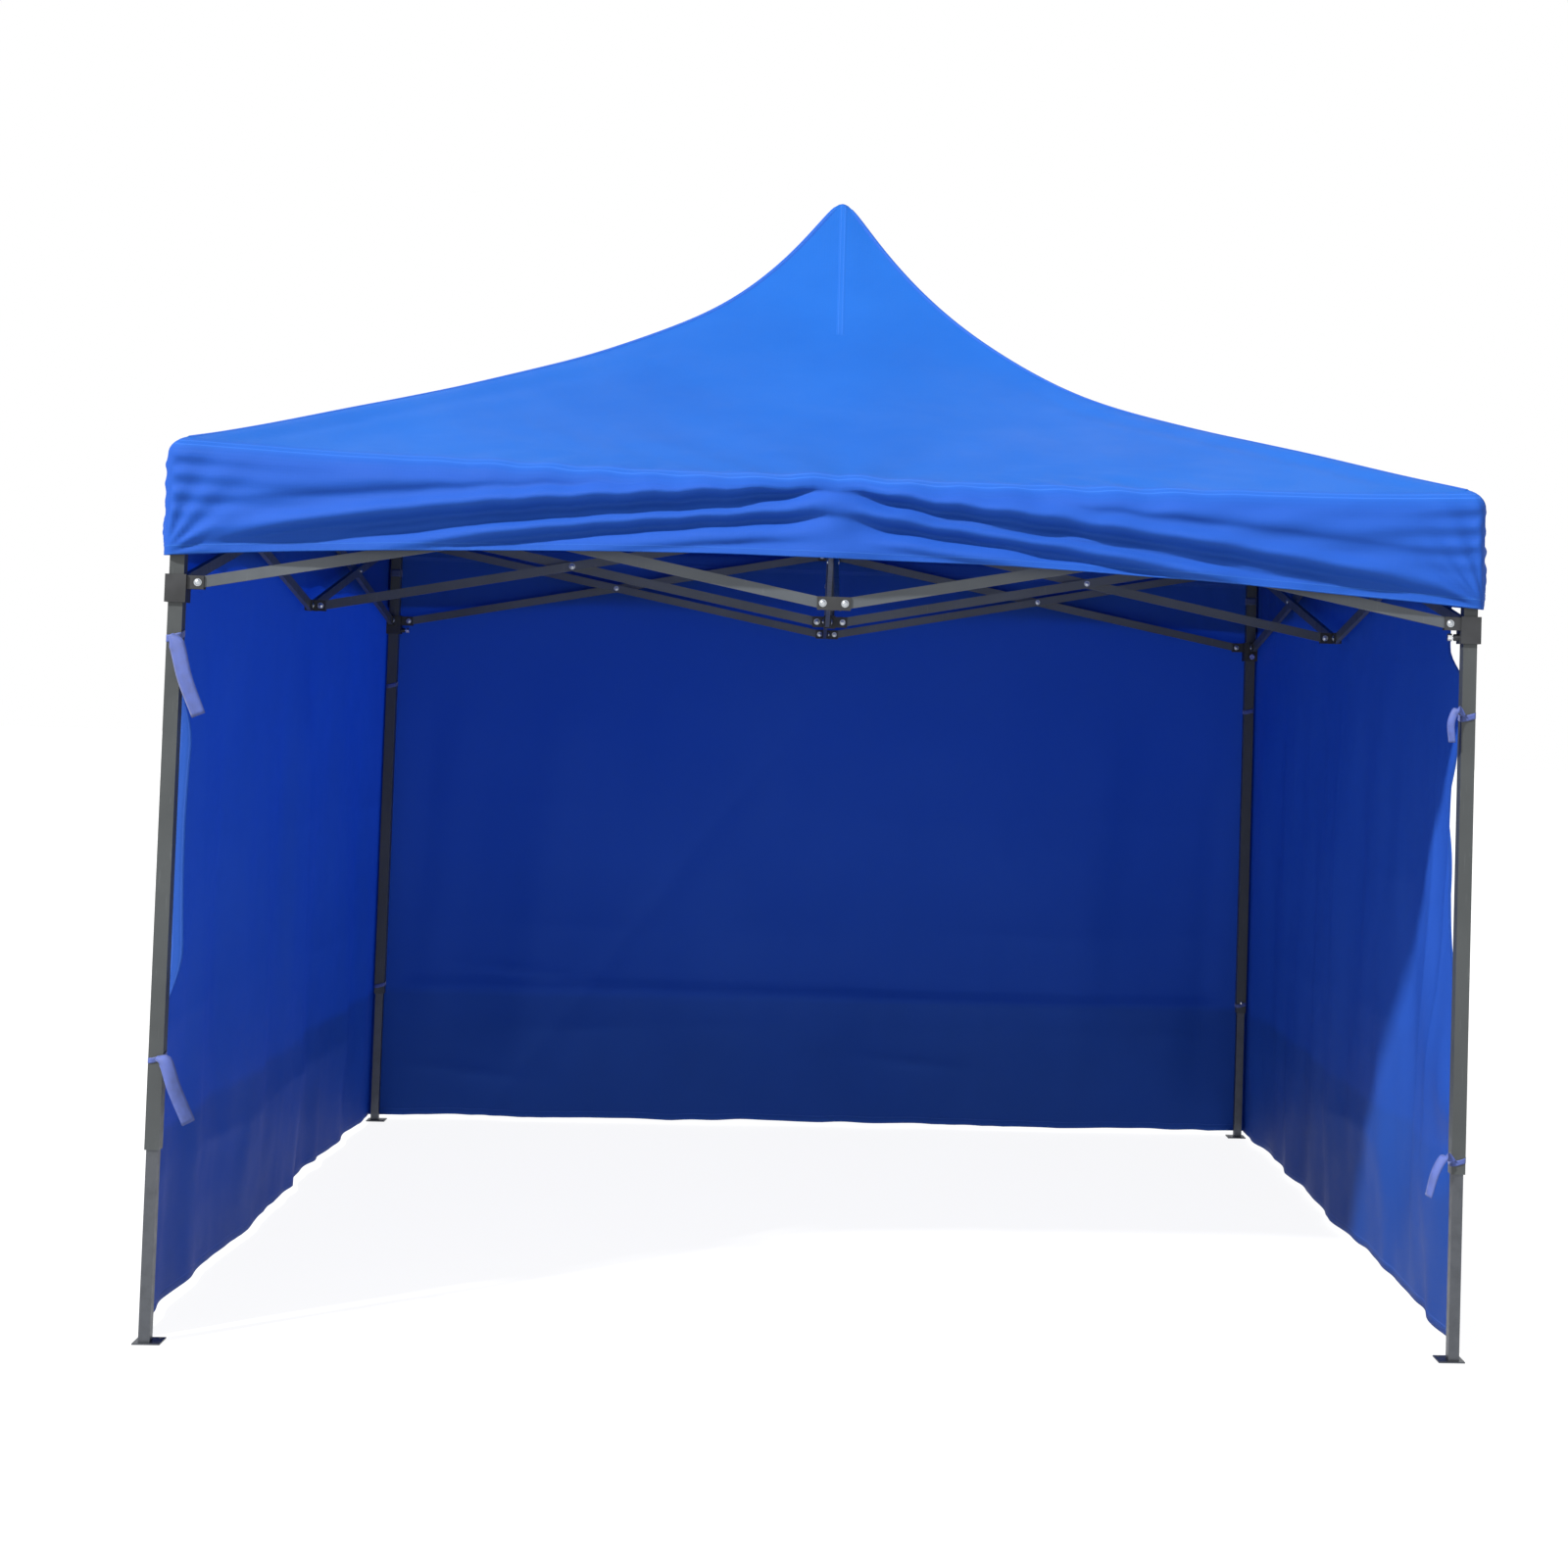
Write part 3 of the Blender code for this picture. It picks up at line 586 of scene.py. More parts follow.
def valance_out(side, along, down):
    """How far the valance stands out from the CAD face. along runs -1 to 1 over the side, down 0 to 1 from the
    eave to the hem. Cloth pulled tight between the lower corners and the top of the side's middle lies in
    long folds, each with a sharp underside."""
    away = np.abs(along)
    rng = np.random.default_rng(40 + side)
    hand = np.where(along < 0, 0, 1)
    deep = VALANCE - HEM_LIFT * (1 - along ** 2)
    slack = 1 - away ** 5
    out = 0.034 * slack * (0.45 + 0.55 * smooth(down, 0.0, 0.30))
    # (at the middle, at the corner, depth, how sharp, how long, first and last share of the side)
    folds = (
        (0.11, 0.95, 0.043, 0.0085, 0.046, -0.04, 1.02),
        (0.27, 1.08, 0.010, 0.0060, 0.026, 0.04, 0.86),
        (0.43, 1.32, 0.034, 0.0085, 0.042, -0.04, 0.72),
        (0.74, 1.60, 0.014, 0.0080, 0.035, 0.02, 0.42),
        (-0.06, 0.56, 0.009, 0.0090, 0.045, 0.30, 1.02),
    )
    for middle, corner, depth, sharp, long, first, last in folds:
        jitter = (rng.uniform(-1, 1, (2, 4)) if side else FRONT_JITTER)[hand]
        fall = (corner - middle + 0.05 * jitter[..., 1]) * away ** (1.0 + 0.1 * jitter[..., 2])
        at = middle + 0.02 * jitter[..., 0] + fall
        below = (down - at) * deep
        length = smooth(away, first, first + 0.14) * (1 - smooth(away, last - 0.25, last))
        strength = depth * (1 + 0.2 * jitter[..., 3]) * length
        step = (0.5 + 0.5 * np.tanh(below / sharp)) * np.exp(-np.maximum(below, 0) / long)
        out = out - strength * step + 0.40 * strength * bell(below + 0.022, 0.015)
    # Small creases that fan out from the lower corners, and a few short level ones by the corner edge
    from_corner = (1 - away) * HALF
    up = (1 - down) * deep
    distance = np.hypot(from_corner, up)
    angle = np.arctan2(up, np.maximum(from_corner, 1e-6))
    fan = np.sin(angle * (15 + 2 * hand) + 2.0 * side + 1.3 * hand)
    out = out + 0.0075 * fan * smooth(distance, 0.012, 0.08) * np.exp(-distance / 0.15)
    level = np.sin(up * 2 * math.pi / 0.042 + 1.1 * side + 10 * from_corner)
    near_corner = smooth(from_corner, 0.004, 0.03) * np.exp(-from_corner / 0.16)
    out = out + 0.0042 * level * near_corner * smooth(up, 0.05, 0.13)
    # Loose cloth is never quite flat
    out = out + 0.0026 * ripples(along * HALF, down * deep, 0.20, 60 + side, stretch=0.5) * slack
    out = out + 0.0009 * ripples(along * HALF, down * 0, 0.060, 70 + side) * smooth(down, 0.80, 1.0) * slack
    return np.maximum(out, 0.0) * (1 - smooth(away, 0.985, 1.0))


def canopy_ring(reach, along, outward, heights):
    """A ring round the canopy: reach from the mast to the side, along -1 to 1, outward the cloth's fold."""
    radius = np.minimum(CORNER_RADIUS, 0.4 * reach)
    flat = reach - radius
    place = np.abs(along) * reach
    turn = np.clip((place - flat) / np.maximum(radius, 1e-9), 0, 1) * math.pi / 4
    x = np.where(place > flat, flat + radius * np.sin(turn), place)
    y = np.where(place > flat, -flat - radius * np.cos(turn), -reach)
    normal_x, normal_y = np.where(place > flat, np.sin(turn), 0), np.where(place > flat, -np.cos(turn), -1.0)
    x, y = x + normal_x * outward, y + normal_y * outward
    return np.stack([np.sign(along) * x, y, heights + 0 * x], axis=-1)


def build_canopy():
    """The canopy: roof and valance as one curved sheet."""
    even = np.linspace(-1, 1, COLUMNS + 1)
    columns = 0.22 * even + 0.78 * (1.5 * even - 0.5 * even ** 3)       # closer together at the corners
    shares = np.linspace(0, 1, ROOF_ROWS)
    roof_reach = 0.004 + (HALF - EAVE_RADIUS - 0.004) * (0.35 * shares + 0.65 * shares ** 1.8)
    roof_reach = np.concatenate([roof_reach[:-1], [HALF - EAVE_RADIUS]])
    turn = np.linspace(0, 1, EAVE_ROWS + 1)[1:]
    down = np.linspace(0, 1, VALANCE_ROWS + 1)[1:]
    seen = columns[:-1]
    rows = []
    for side in range(4):
        side_rows = []

        def add_row(reach, outward, heights, side=side):
            side_rows.append(turned(canopy_ring(reach, seen, outward, heights), side))

        def roof_over(reach, side=side):
            ring = turned(canopy_ring(reach, seen, 0.0, 0.0), side)
            return roof_z(ring[..., 0], ring[..., 1])

        for reach in roof_reach:
            add_row(reach, 0.0, roof_over(reach))
        start_z, edge_z = roof_over(HALF - EAVE_RADIUS), roof_over(HALF)
        first = EAVE_RADIUS / VALANCE
        top_out, turned_out = (valance_out(side, seen, 0 * seen + share) for share in (0.0, first))
        for share in turn:
            # A quadratic curve from the roof's line to the valance's
            near, mid, far = (1 - share) ** 2, 2 * share * (1 - share), share ** 2
            reach = near * (HALF - EAVE_RADIUS) + (mid + far) * HALF
            heights = near * start_z + mid * edge_z + far * (edge_z - EAVE_RADIUS)
            add_row(reach, (mid + far) * top_out + far * (turned_out - top_out), heights)
        share = (seen + 1) / 2
        bowed = 1 - seen ** 2
        hem = HEM + CORNER_HEM[side - 1] * (1 - share) + CORNER_HEM[side] * share
        hem = hem + (HEM_LIFT + (0.018 if side == 0 else 0.004)) * bowed
        hem = hem + 0.0018 * ripples(seen * HALF, 0 * seen, 0.5, 80 + side) * (1 - seen ** 4)
        top = edge_z - EAVE_RADIUS
        for share in down:
            outward = valance_out(side, seen, 0 * seen + first + (1 - first) * share)
            add_row(HALF, outward, top + (hem - top) * share)
        rows.append(np.stack(side_rows))
    points = np.concatenate(rows, axis=1)
    # u is the way along the side and v the way down the cloth from the eave, both in metres
    middle = points[:ROOF_ROWS, COLUMNS // 2]
    fall = run_of(middle)
    widths = np.concatenate([roof_reach, np.full(EAVE_ROWS + VALANCE_ROWS, HALF)])
    depths = np.concatenate([-fall, turn * EAVE_TURN, EAVE_TURN + down * (VALANCE - EAVE_RADIUS)])
    one_side = np.stack([
        widths[:, None] * columns[None, :], np.repeat(depths[:, None], COLUMNS + 1, axis=1)
    ], axis=-1)
    # Each side starts again at its own corner, so its last column is a column of its own
    cloth_columns = np.concatenate([one_side[:, :-1]] * 4 + [one_side[:, -1:]], axis=1)
    above_hem = np.full(points.shape[:2], 1.0)
    above_hem[-VALANCE_ROWS:] = ((1 - down) * (VALANCE - EAVE_RADIUS))[:, None]
    # The seam under the eave, and the one down the middle of each panel's tip
    from_seam = np.abs(np.repeat(depths[:, None], points.shape[1], axis=1) - 0.020)
    from_middle = np.abs(np.concatenate([roof_reach[:, None] * columns[None, :-1]] * 4, axis=1))
    from_seam[:ROOF_ROWS] = np.where(roof_reach[:, None] < 0.42, from_middle, 1.0)
    tip = np.array([[0.0, 0.0, float(roof_z(np.array(0.0), np.array(0.0)))]])
    canopy = sheet_mesh("canopy_sheet", points, cloth_columns, above_hem, from_seam, closed=True, tip=tip)
    gather_with_frame(shade(canopy, roof_cloth))
    thicken(canopy)
    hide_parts("canopy")
    return ride(canopy, "hub")


def ribbon(name, points, half_width, length, look, thickness):
    """A flat tape from its rows of points."""
    spread = np.linspace(-1, 1, points.shape[1])
    cloth = np.stack(np.meshgrid(spread * half_width, length), axis=-1)
    edge = np.repeat((half_width * (1 - np.abs(spread)))[None, :], len(length), axis=0) + 0.001
    made = sheet_mesh(name, points, cloth, edge, np.ones_like(edge))
    return thicken(shade(made, look), thickness)


def build_seams():
    """Felled seams down the four ridges."""
    made = []
    spread = np.linspace(-1, 1, 7)
    half_width = 0.009
    for corner in range(4):
        shares = np.concatenate([np.linspace(0.02, 0.2, 24), np.linspace(0.2, 1.0, 60)[1:]])
        reach = shares * (HALF - EAVE_RADIUS)
        rows = []
        for r in reach:
            inset = min(CORNER_RADIUS, 0.4 * r) * (1 - math.cos(math.pi / 4))
            # Across the ridge, x and y change by the same
            across = spread * half_width * 0.7071
            x, y = r - inset + across, inset - r + across
            valance_sheen = turned(np.stack([x, y, 0 * x], axis=-1), corner)
            valance_sheen[..., 2] = roof_z(valance_sheen[..., 0], valance_sheen[..., 1]) + 0.0014 * (1 - spread ** 4) + 0.0003
            rows.append(valance_sheen)
        points = np.stack(rows)
        run = run_of(points[:, 3])
        cloth = np.stack(np.meshgrid(spread * half_width, run), axis=-1)
        edge = np.full(points.shape[:2], 1.0)
        seam = np.repeat(np.abs(spread * half_width)[None, :], len(run), axis=0)
        tape = sheet_mesh(f"ridge_seam_{CORNERS[corner]}", points, cloth, edge, seam)
        gather_with_frame(shade(tape, roof_cloth))
        made.append(ride(tape, "hub"))
    return made


# ---------------------------------------------------------------- walls

WALL_COLUMNS = 180
WALL_ROWS = 120
HEADER = 0.045                  # the folded top of a wall


def wall_edge_pull(side, z):
    """How far the end of a wall at the open front draws back from its leg. Between the ties it bows back."""
    if side == 1:
        bows = 0.150 * bell(z - 1.27, 0.11) + 0.150 * bell(z - 0.98, 0.17)
        return 0.068 + 0.220 * smooth(z, 1.49, 1.62) + bows
    return 0.068 + 0.020 * bell(z - 1.10, 0.28) + 0.012 * bell(z - 0.30, 0.12) + 0.03 * smooth(z, 1.62, 1.80)


def wall_out(side, x, z):
    """How far a wall stands out from its CAD plane, along x and up z. Negative is into the gazebo."""
    low = 1 - smooth(z, 1.25, 1.62)                 # free below the bars
    clear = 1 - smooth(np.abs(x), 1.30, 1.42)       # and between the legs
    hang = (1 - np.clip(z / WALL_TOP, 0, 1)) ** 0.6
    rng = np.random.default_rng(20 + side)
    wave = np.zeros_like(x)
    for wavelength, height in ((1.45, 0.012), (0.62, 0.008), (0.31, 0.0045), (0.17, 0.0018)):
        phase, lean = rng.uniform(0, 2 * math.pi), rng.uniform(-0.12, 0.12)
        swing = phase + 0.5 * np.sin(2.1 * z + phase)
        wave = wave + height * np.sin(2 * math.pi * (x + lean * z) / wavelength + swing)
    out = wave * (0.25 + 0.75 * hang) * low * clear * (1 - 0.45 * (1 - smooth(z, 0.0, 0.30)))
    out = out + 0.0045 * ripples(x, z, 0.42, 90 + side, stretch=2.2) * low * clear
    # Folds left from packing: level and upright lines where the cloth changes direction
    for line, depth in ((0.33, 0.007), (0.66, 0.004), (1.05, 0.003)):
        bent = z - line - 0.012 * ripples(x, 0 * z, 0.9, int(100 * line) + side)
        shown = (0.5 + 0.5 * ripples(x, 0 * z, 0.7, int(70 * line) + side)) * clear
        out = out - depth * np.exp(-np.abs(bent) / 0.045) * shown
    for line, depth in ((-0.72, 0.004), (0.0, 0.005), (0.72, 0.004)):
        bent = x - line - 0.010 * ripples(0 * x, z, 0.8, int(50 * line) + 300 + side)
        out = out - depth * np.exp(-np.abs(bent) / 0.05) * low
    # Creases that hang from the header, where hook-and-loop holds it every so often
    held = np.abs(np.sin(math.pi * x / 0.36))
    out = out + 0.0022 * (held - 0.6) * smooth(z, 1.45, 1.85) * clear
    out = out + 0.0012 * ripples(x, z, 0.09, 33 + side, stretch=3.0) * smooth(z, 1.5, 1.9)
    # The foot kicks out a little and ripples
    out = out + 0.010 * (1 - smooth(z, 0.0, 0.34)) * clear
    out = out + 0.0028 * ripples(x, 0 * z, 0.20, 55 + side) * (1 - smooth(z, 0.0, 0.20)) * clear
    if side != 2:
        # The front end curls in behind its leg
        front = 1 if side == 3 else -1
        out = out - 0.018 * (1 - smooth(WALL_HALF - front * x, 0.03, 0.20)) * (1 - smooth(z, 1.45, 1.58))
    if side == 2:
        # The foot band's seam has drawn up, and a long crease runs down from the top of the middle
        bent = z - 0.455 - 0.010 * np.sin(2.2 * x)
        drawn_up = (0.5 - 0.5 * np.tanh(bent / 0.012)) * np.exp(np.minimum(bent, 0) / 0.07)
        out = out - 0.020 * drawn_up * (0.6 + 0.4 * bell(x + 0.25, 0.5)) * clear
        bent = (x + 0.02) * 0.80 + (z - 1.50) * 0.60
        along = -(x + 0.02) * 0.60 + (1.50 - z) * 0.80
        shown = smooth(along, 0.0, 0.15) * (1 - smooth(along, 0.45, 0.75))
        out = out + 0.007 * np.exp(-np.abs(bent) / 0.035) * shown
        for at, low_z in ((0.95, 0.50), (1.15, 0.16), (-0.35, 0.22)):
            near = bell(x - at, 0.13)
            out = out - 0.009 * near * np.exp(-np.abs(z - low_z - 0.1 * (x - at)) / 0.016)
    if side == 3:
        # Between the two ties of the front left leg its edge turns in, and catches the light from outside
        end = WALL_HALF - x
        between = smooth(z, 0.66, 0.86) * (1 - smooth(z, 1.30, 1.50))
        out = out - 0.056 * (1 - smooth(end, 0.062, 0.125)) * between
    if side == 1:
        # Pulls from the two ties at the front right leg
        for height, reach in ((1.455, 0.45), (0.42, 0.70)):
            away, up = x + WALL_HALF, z - height
            angle = np.arctan2(up, np.maximum(away, 1e-6))
            distance = np.hypot(away, up)
            pull = np.sin(angle * 6.5 + 0.8) * smooth(distance, 0.06, 0.22) * np.exp(-distance / (reach / 2))
            out = out + 0.016 * pull * low
        # Two long creases beside the front end
        for foot, depth in ((0.42, 0.010), (0.56, 0.008)):
            bent = (x + WALL_HALF) - foot + 0.20 * (z - 0.4) - 0.02 * np.sin(5 * z)
            shown = smooth(z, 0.25, 0.55) * (1 - smooth(z, 1.15, 1.45))
            out = out - depth * np.exp(-np.abs(bent) / 0.035) * shown
    return out


def build_wall(side):
    """A wall: one sheet with its header, its hems and its folds."""
    name = SIDES[side]
    across = np.linspace(-1, 1, WALL_COLUMNS + 1)
    even = 0.6 * across + 0.4 * (1.5 * across - 0.5 * across ** 3)
    up = np.linspace(1, 0, WALL_ROWS + 1)
    grid_x, grid_up = np.meshgrid(even * WALL_HALF, up)
    z = WALL_BOTTOM + (WALL_TOP - WALL_BOTTOM) * grid_up
    if side != 2:
        front = 1 if side == 3 else -1
        near_front = smooth(front * grid_x, WALL_HALF - 0.75, WALL_HALF)
        grid_x = grid_x - front * wall_edge_pull(side, z) * near_front
        # The back ends lap over the back wall's
        grid_x = grid_x - front * 0.0042 * smooth(-front * grid_x, WALL_HALF - 0.1, WALL_HALF)
    else:
        # The back wall's ends meet the side walls
        grid_x = grid_x * (1 + 0.0015 / WALL_HALF)
    ragged = 0.003 * ripples(grid_x, 0 * z, 0.70, 44 + side)
    ragged = ragged + 0.0012 * ripples(grid_x, 0 * z, 0.14, 45 + side)
    z = z + (np.abs(ragged) - 0.002) * (1 - grid_up) ** 6
    points = turned(np.stack([grid_x, -(WALL_FACE + wall_out(side, grid_x, z)), z], axis=-1), side)
    cloth = np.stack([np.repeat(even[None, :] * WALL_HALF, len(up), axis=0), z], axis=-1)
    from_side = (1 - np.abs(even)) * WALL_HALF
    edge = np.minimum(from_side[None, :], (grid_up * (WALL_TOP - WALL_BOTTOM)))
    seam = np.abs((1 - grid_up) * (WALL_TOP - WALL_BOTTOM) - HEADER)
    wall = sheet_mesh(f"wall_sheet_{name}", points[:, ::-1], cloth[:, ::-1], edge[:, ::-1], seam[:, ::-1])
    gather_with_frame(shade(wall, wall_cloth))
    thicken(wall)
    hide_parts(f"wall_{name}")
    ride(wall, "hub")


# ---------------------------------------------------------------- ties and straps

def loop_round_leg(name, corner, z, height, half, look, thickness, slack=0.0):
    """A band of tape round a leg. half is from the leg's centre to the tape."""
    turns = np.linspace(0, 2 * math.pi, 41)
    power = 5.0                              # of the rounded square
    radius = half / (np.abs(np.cos(turns)) ** power + np.abs(np.sin(turns)) ** power) ** (1 / power)
    x, y = (LEG if "right" in corner else -LEG), (-LEG if "front" in corner else LEG)
    x, y, z = x + radius * np.cos(turns), y + radius * np.sin(turns), z + slack * np.sin(turns + 1.0)
    line = np.stack([x, y, z], axis=-1)
    across = np.linspace(-0.5, 0.5, 5)[None, :, None] * np.array([0.0, 0.0, height])
    return ribbon(name, line[:, None, :] + across, height / 2, run_of(line), look, thickness)


def tail(name, points, across, half_width, body, twist):
    """A free end of a tie: a ribbon down a smooth line through a few points, turning about it."""
    line = smooth_line(points, 28)
    run = np.linspace(0, 1, len(line))
    direction = np.gradient(line, axis=0)
    direction /= np.linalg.norm(direction, axis=1)[:, None]
    first = across - direction * (direction @ across)[:, None]
    first /= np.linalg.norm(first, axis=1)[:, None]
    second = np.cross(direction, first)
    sideways = first * np.cos(twist * run)[:, None] + second * np.sin(twist * run)[:, None]
    width = half_width * np.clip(0.35 + 2.2 * run, 0, 1)
    spread = np.linspace(-1, 1, 7)
    curl = 0.22 * half_width * (1 - spread ** 2)
    rows = (line[:, None, :] + sideways[:, None, :] * (spread[None, :] * width[:, None])[..., None]
            + np.cross(direction, sideways)[:, None, :] * curl[None, :, None])
    length = run_of(line)
    made = ribbon(name, rows, half_width, length, tie_cloth, 0.0007)
    ride(made, body)


def smooth_line(points, count):
    """A Catmull-Rom line through the points."""
    padded = np.vstack([2 * points[0] - points[1], points, 2 * points[-1] - points[-2]])
    found = []
    for at in np.linspace(0, len(points) - 1, count):
        index = min(int(at), len(points) - 2)
        t = at - index
        a, b, c, d = padded[index:index + 4]
        bend, twist = 2 * a - 5 * b + 4 * c - d, 3 * b - a - 3 * c + d
        found.append(0.5 * (2 * b + (c - a) * t + bend * t * t + twist * t ** 3))
    return np.array(found)


# Heights of the upper and the lower band at each leg
TIE_HEIGHTS = {
    "front_left": (1.545, 0.620), "front_right": (1.455, 0.450),
    "back_right": (1.450, 0.450), "back_left": (1.450, 0.450),
}
BEFORE_LEG = 0.0235                          # from a leg's centre to just before its and the bars' front face
# The free ends at the front legs: name, half the tape's width, its way across, its twist, and its points from
# the leg's centre line and that front face, above the ground
FREE_ENDS = (
    ("front_left_upper", 0.018, (1, 0, 0.25), 0.35, (
        (-0.004, 0.0, 1.548), (0.012, -0.006, 1.522), (0.032, -0.010, 1.452), (0.064, -0.006, 1.372),
    )),
    ("front_left_lower", 0.015, (1, 0, 0.3), -0.5, (
        (0.004, 0.0, 0.622), (0.026, -0.006, 0.612), (0.046, -0.010, 0.560), (0.080, -0.004, 0.482),
    )),
    ("front_right_upper", 0.009, (1, 0, 0.2), 0.8, (
        (-0.010, 0.0, 1.455), (-0.030, -0.006, 1.470), (-0.044, -0.008, 1.440), (-0.040, -0.004, 1.395),
    )),
    ("front_right_lower", 0.011, (1, 0, 0.2), 1.1, (
        (-0.010, 0.0, 0.450), (-0.034, -0.006, 0.462), (-0.056, -0.010, 0.430), (-0.070, -0.002, 0.372),
    )),
)


def build_ties():
    """Ties that hold the walls to the legs: a band round each, and the free ends at the front legs."""
    for corner, heights in TIE_HEIGHTS.items():
        for label, z in zip(("upper", "lower"), heights):
            name = f"tie_band_{corner}_{label}"
            height = 0.012 if label == "lower" else 0.016 if corner == "front_left" else 0.014
            band = loop_round_leg(name, corner, z, height, LEG_HALF + 0.0022, tie_cloth, 0.0012, 0.006)
            ride(band, f"leg_{corner}")
    for name, half_width, across, twist, points in FREE_ENDS:
        corner = name.rsplit("_", 1)[0]
        place = np.array([LEG if "right" in corner else -LEG, -LEG - BEFORE_LEG, 0.0])
        body = f"leg_{corner}"
        tail(f"tie_{name}", place + np.array(points), np.array(across, float), half_width, body, twist)


def build_straps():
    """Straps inside the valance that hold the canopy's corners to the legs."""
    z = UPPER_PIVOT - 0.105                  # 7 cm below the corner brackets
    for corner in CORNERS:
        name = f"canopy_strap_{corner}"
        strap = loop_round_leg(name, corner, z, 0.025, LEG_HALF + 0.0020, strap_web, 0.0012)
        ride(strap, f"leg_{corner}")


# ---------------------------------------------------------------- bolts and buttons

def turned_profile(shape, profile, sides, place):
    """Adds a profile of (radius, height) turned about Z, closed at both ends, to a bmesh."""
    rings = []
    for radius, height in profile:
        if radius < 1e-6:
            rings.append([shape.verts.new(place @ Vector((0, 0, height)))])
            continue
        turns = [2 * math.pi * i / sides for i in range(sides)]
        rings.append([
            shape.verts.new(place @ Vector((radius * math.cos(turn), radius * math.sin(turn), height)))
            for turn in turns
        ])
    for low, high in zip(rings, rings[1:]):
        for i in range(sides):
            a, b = low[i % len(low)], low[(i + 1) % len(low)]
            c, d = high[(i + 1) % len(high)], high[i % len(high)]
            shape.faces.new(list(dict.fromkeys((a, b, c, d))))


def facing(centre, way):
    """The place of a profile that stands on centre and points along way."""
    return Matrix.Translation(centre) @ Vector(way).to_track_quat("Z", "Y").to_matrix().to_4x4()


# Profiles as (radius, height) in metres
DOME = ((0.0, 0.0), (0.0085, 0.0), (0.0088, 0.0004), (0.0085, 0.0009), (0.0064, 0.0010), (0.0062, 0.0016),
        (0.0054, 0.0026), (0.0038, 0.0033), (0.0016, 0.0036), (0.0, 0.00365))
WASHER = ((0.0, 0.0), (0.0080, 0.0), (0.0083, 0.0005), (0.0078, 0.0010), (0.0, 0.0010))
NUT = ((0.0, 0.0008), (0.0056, 0.0008), (0.0058, 0.0014), (0.0058, 0.0030), (0.0050, 0.0034), (0.0, 0.0034))
BOLT_END = ((0.0, 0.0005), (0.0024, 0.0005), (0.0024, 0.0037), (0.0019, 0.0041), (0.0, 0.0041))
BUTTON = (
    (0.0, -0.0030), (0.0046, -0.0030), (0.0046, 0.0010), (0.0042, 0.0022), (0.0030, 0.0031), (0.0, 0.0036),
)


def bolts_on(body, bolts, side):
    """One piece with a body's bolts, given on the front side as centre, axis and half width: a domed head on
    one face, a washer and a nut on the other."""
    shape = bmesh.new()
    for centre, axis, half in bolts:
        centre, axis = Vector(centre), Vector(axis)
        turned_profile(shape, DOME, 20, facing(centre + axis * half, axis))
        place = facing(centre - axis * half, -axis)
        for profile, sides in ((WASHER, 20), (NUT, 6), (BOLT_END, 12)):
            turned_profile(shape, profile, sides, place)
    shape.transform(Matrix.Rotation(side * math.pi / 2, 4, "Z"))
    ride(from_shape(shape, f"bolts_{body}", bolt_zinc, 32), body)


def build_bolts():
    """A bolt at every pivot of the scissor frame."""
    outward, sideways = (0, -1, 0), (1, 0, 0)
    middle_z = (UPPER_PIVOT + LOWER_PIVOT) / 2
    half_way = (MIDDLE_REACH + LEG - CORNER_REACH) / 2
    for side, name in enumerate(SIDES):
        for label, z, layer in (("top", UPPER_PIVOT, -LAYER), ("bottom", LOWER_PIVOT, LAYER)):
            bolts = [((x, -LEG + layer, z), outward, FORK_HALF) for x in (-MIDDLE_REACH, MIDDLE_REACH)]
            bolts.append(((layer, -LEG + HUB_REACH, z), sideways, FORK_HALF))
            bolts_on(f"mid_{label}_{name}", bolts, side)
        for hand, sign in HANDS.items():
            centre = (sign * half_way, -LEG, middle_z)
            bolts_on(f"side_bar_{name}_{hand}_down", [(centre, outward, PAIR_HALF)], side)
        bolts_on(f"inner_bar_{name}_down", [((0, -LEG / 2, middle_z), sideways, PAIR_HALF)], side)
    for side, corner in enumerate(CORNERS):
        for body, z, layer in (("leg", UPPER_PIVOT, LAYER), ("slider", LOWER_PIVOT, -LAYER)):
            bolts_on(f"{body}_{corner}", [
                ((LEG - CORNER_REACH, -LEG + layer, z), outward, FORK_HALF),
                ((LEG - layer, -LEG + CORNER_REACH, z), sideways, FORK_HALF),
            ], side)
    for body, z, layer in (("hub", UPPER_PIVOT, LAYER), ("hub_lower", LOWER_PIVOT, -LAYER)):
        bolts = []
        for side in range(4):
            turn = Matrix.Rotation(side * math.pi / 2, 3, "Z")
            bolts.append((turn @ Vector((layer, -HUB_REACH, z)), turn @ Vector(sideways), FORK_HALF))
        bolts_on(body, bolts, 0)


def build_buttons():
    """The sprung height button of each leg, showing through its hole."""
    for side, corner in enumerate(CORNERS):
        shape = bmesh.new()
        hole = (LEG - LEG_HALF, -LEG, OUTER_LEG_BOTTOM + 0.035)
        turned_profile(shape, BUTTON, 24, facing(hole, (-1, 0, 0)))
        shape.transform(Matrix.Rotation(side * math.pi / 2, 4, "Z"))
        ride(from_shape(shape, f"leg_button_{corner}", pin_steel, 40), f"leg_{corner}")


# ---------------------------------------------------------------- stage, light, camera

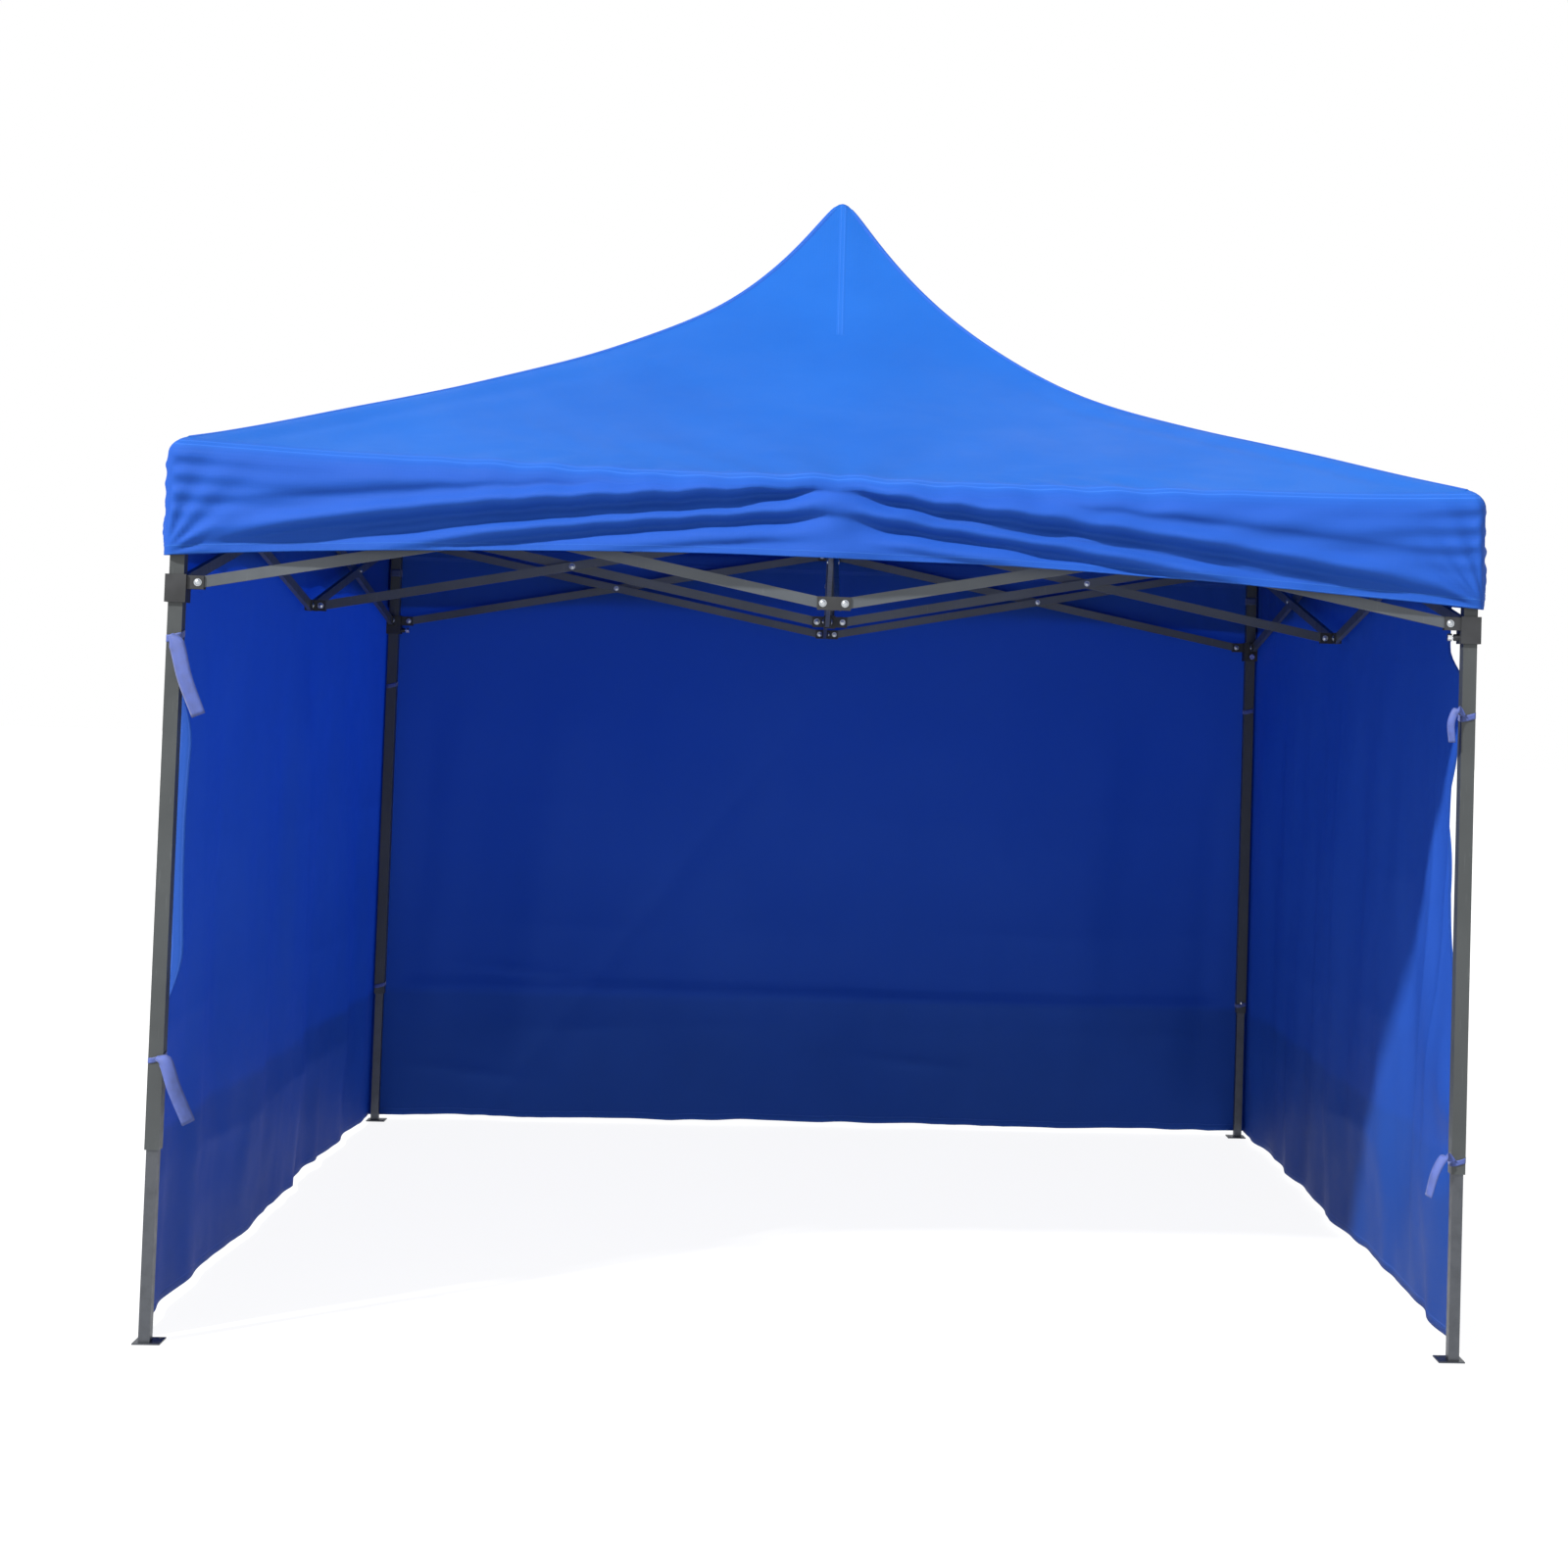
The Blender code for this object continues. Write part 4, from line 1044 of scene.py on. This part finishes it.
def build_stage():
    """A pale floor, an even white world and a key light from the front left."""
    look = Look("pale_floor")
    tint = look.between(look.noise(3.0, 3.0), 0.3, 0.7, (0.115, 0.115, 0.118), (0.13, 0.13, 0.13))
    look.finish(tint, 0.9, Specular_IOR_Level=0.1, Emission_Color=(1, 1, 1, 1), Emission_Strength=0.92)
    shape = bmesh.new()
    bmesh.ops.create_grid(shape, x_segments=2, y_segments=2, size=60.0)
    floor = from_shape(shape, "floor", look.made, 180)
    floor.location.z = -0.0006

    world = bpy.data.worlds.new("studio")
    world.use_nodes = True
    background = world.node_tree.nodes["Background"]
    background.inputs["Color"].default_value = (1.0, 1.0, 1.0, 1.0)
    background.inputs["Strength"].default_value = 1.0
    bpy.context.scene.world = world

    sun = bpy.data.lights.new("key", "SUN")
    sun.energy = 7.2
    sun.angle = math.radians(3.0)
    sun.color = (1.0, 0.985, 0.96)
    key = link(bpy.data.objects.new("key", sun))
    key.rotation_mode = "QUATERNION"
    key.rotation_quaternion = Vector((0.55, 0.47, -0.62)).to_track_quat("-Z", "Y")


def build_camera():
    """The photograph's view: standing height, a little left of the middle, turned slightly to the right."""
    yaw, pitch, roll = 0.0637, 0.0402, 0.0306
    ahead = Vector((math.sin(yaw) * math.cos(pitch), math.cos(yaw) * math.cos(pitch), math.sin(pitch)))
    level = Vector((math.cos(yaw), -math.sin(yaw), 0.0))
    upright = level.cross(ahead)
    right = level * math.cos(roll) + upright * math.sin(roll)
    up = upright * math.cos(roll) - level * math.sin(roll)
    data = bpy.data.cameras.new("camera")
    data.lens = 57.9
    data.sensor_width = 36.0
    data.shift_x, data.shift_y = -0.123, -0.118
    camera = link(bpy.data.objects.new("camera", data))
    turn = Matrix((right, up, -ahead)).transposed().to_4x4()
    camera.matrix_world = Matrix.Translation((-0.0406, -7.1274, 1.4571)) @ turn
    bpy.context.scene.camera = camera
    bpy.context.scene.view_settings.view_transform = "Standard"


build_camera()
build_stage()
finish_frame()
canopy = build_canopy()
seams = build_seams()
held_up_by = ["mast_cap"] + [f"corner_bracket_{corner}" for corner in CORNERS]
held_up_by += [f"mid_top_{side}" for side in SIDES]
build_straps()
for index in range(1, 4):
    build_wall(index)
build_ties()
build_bolts()
build_buttons()
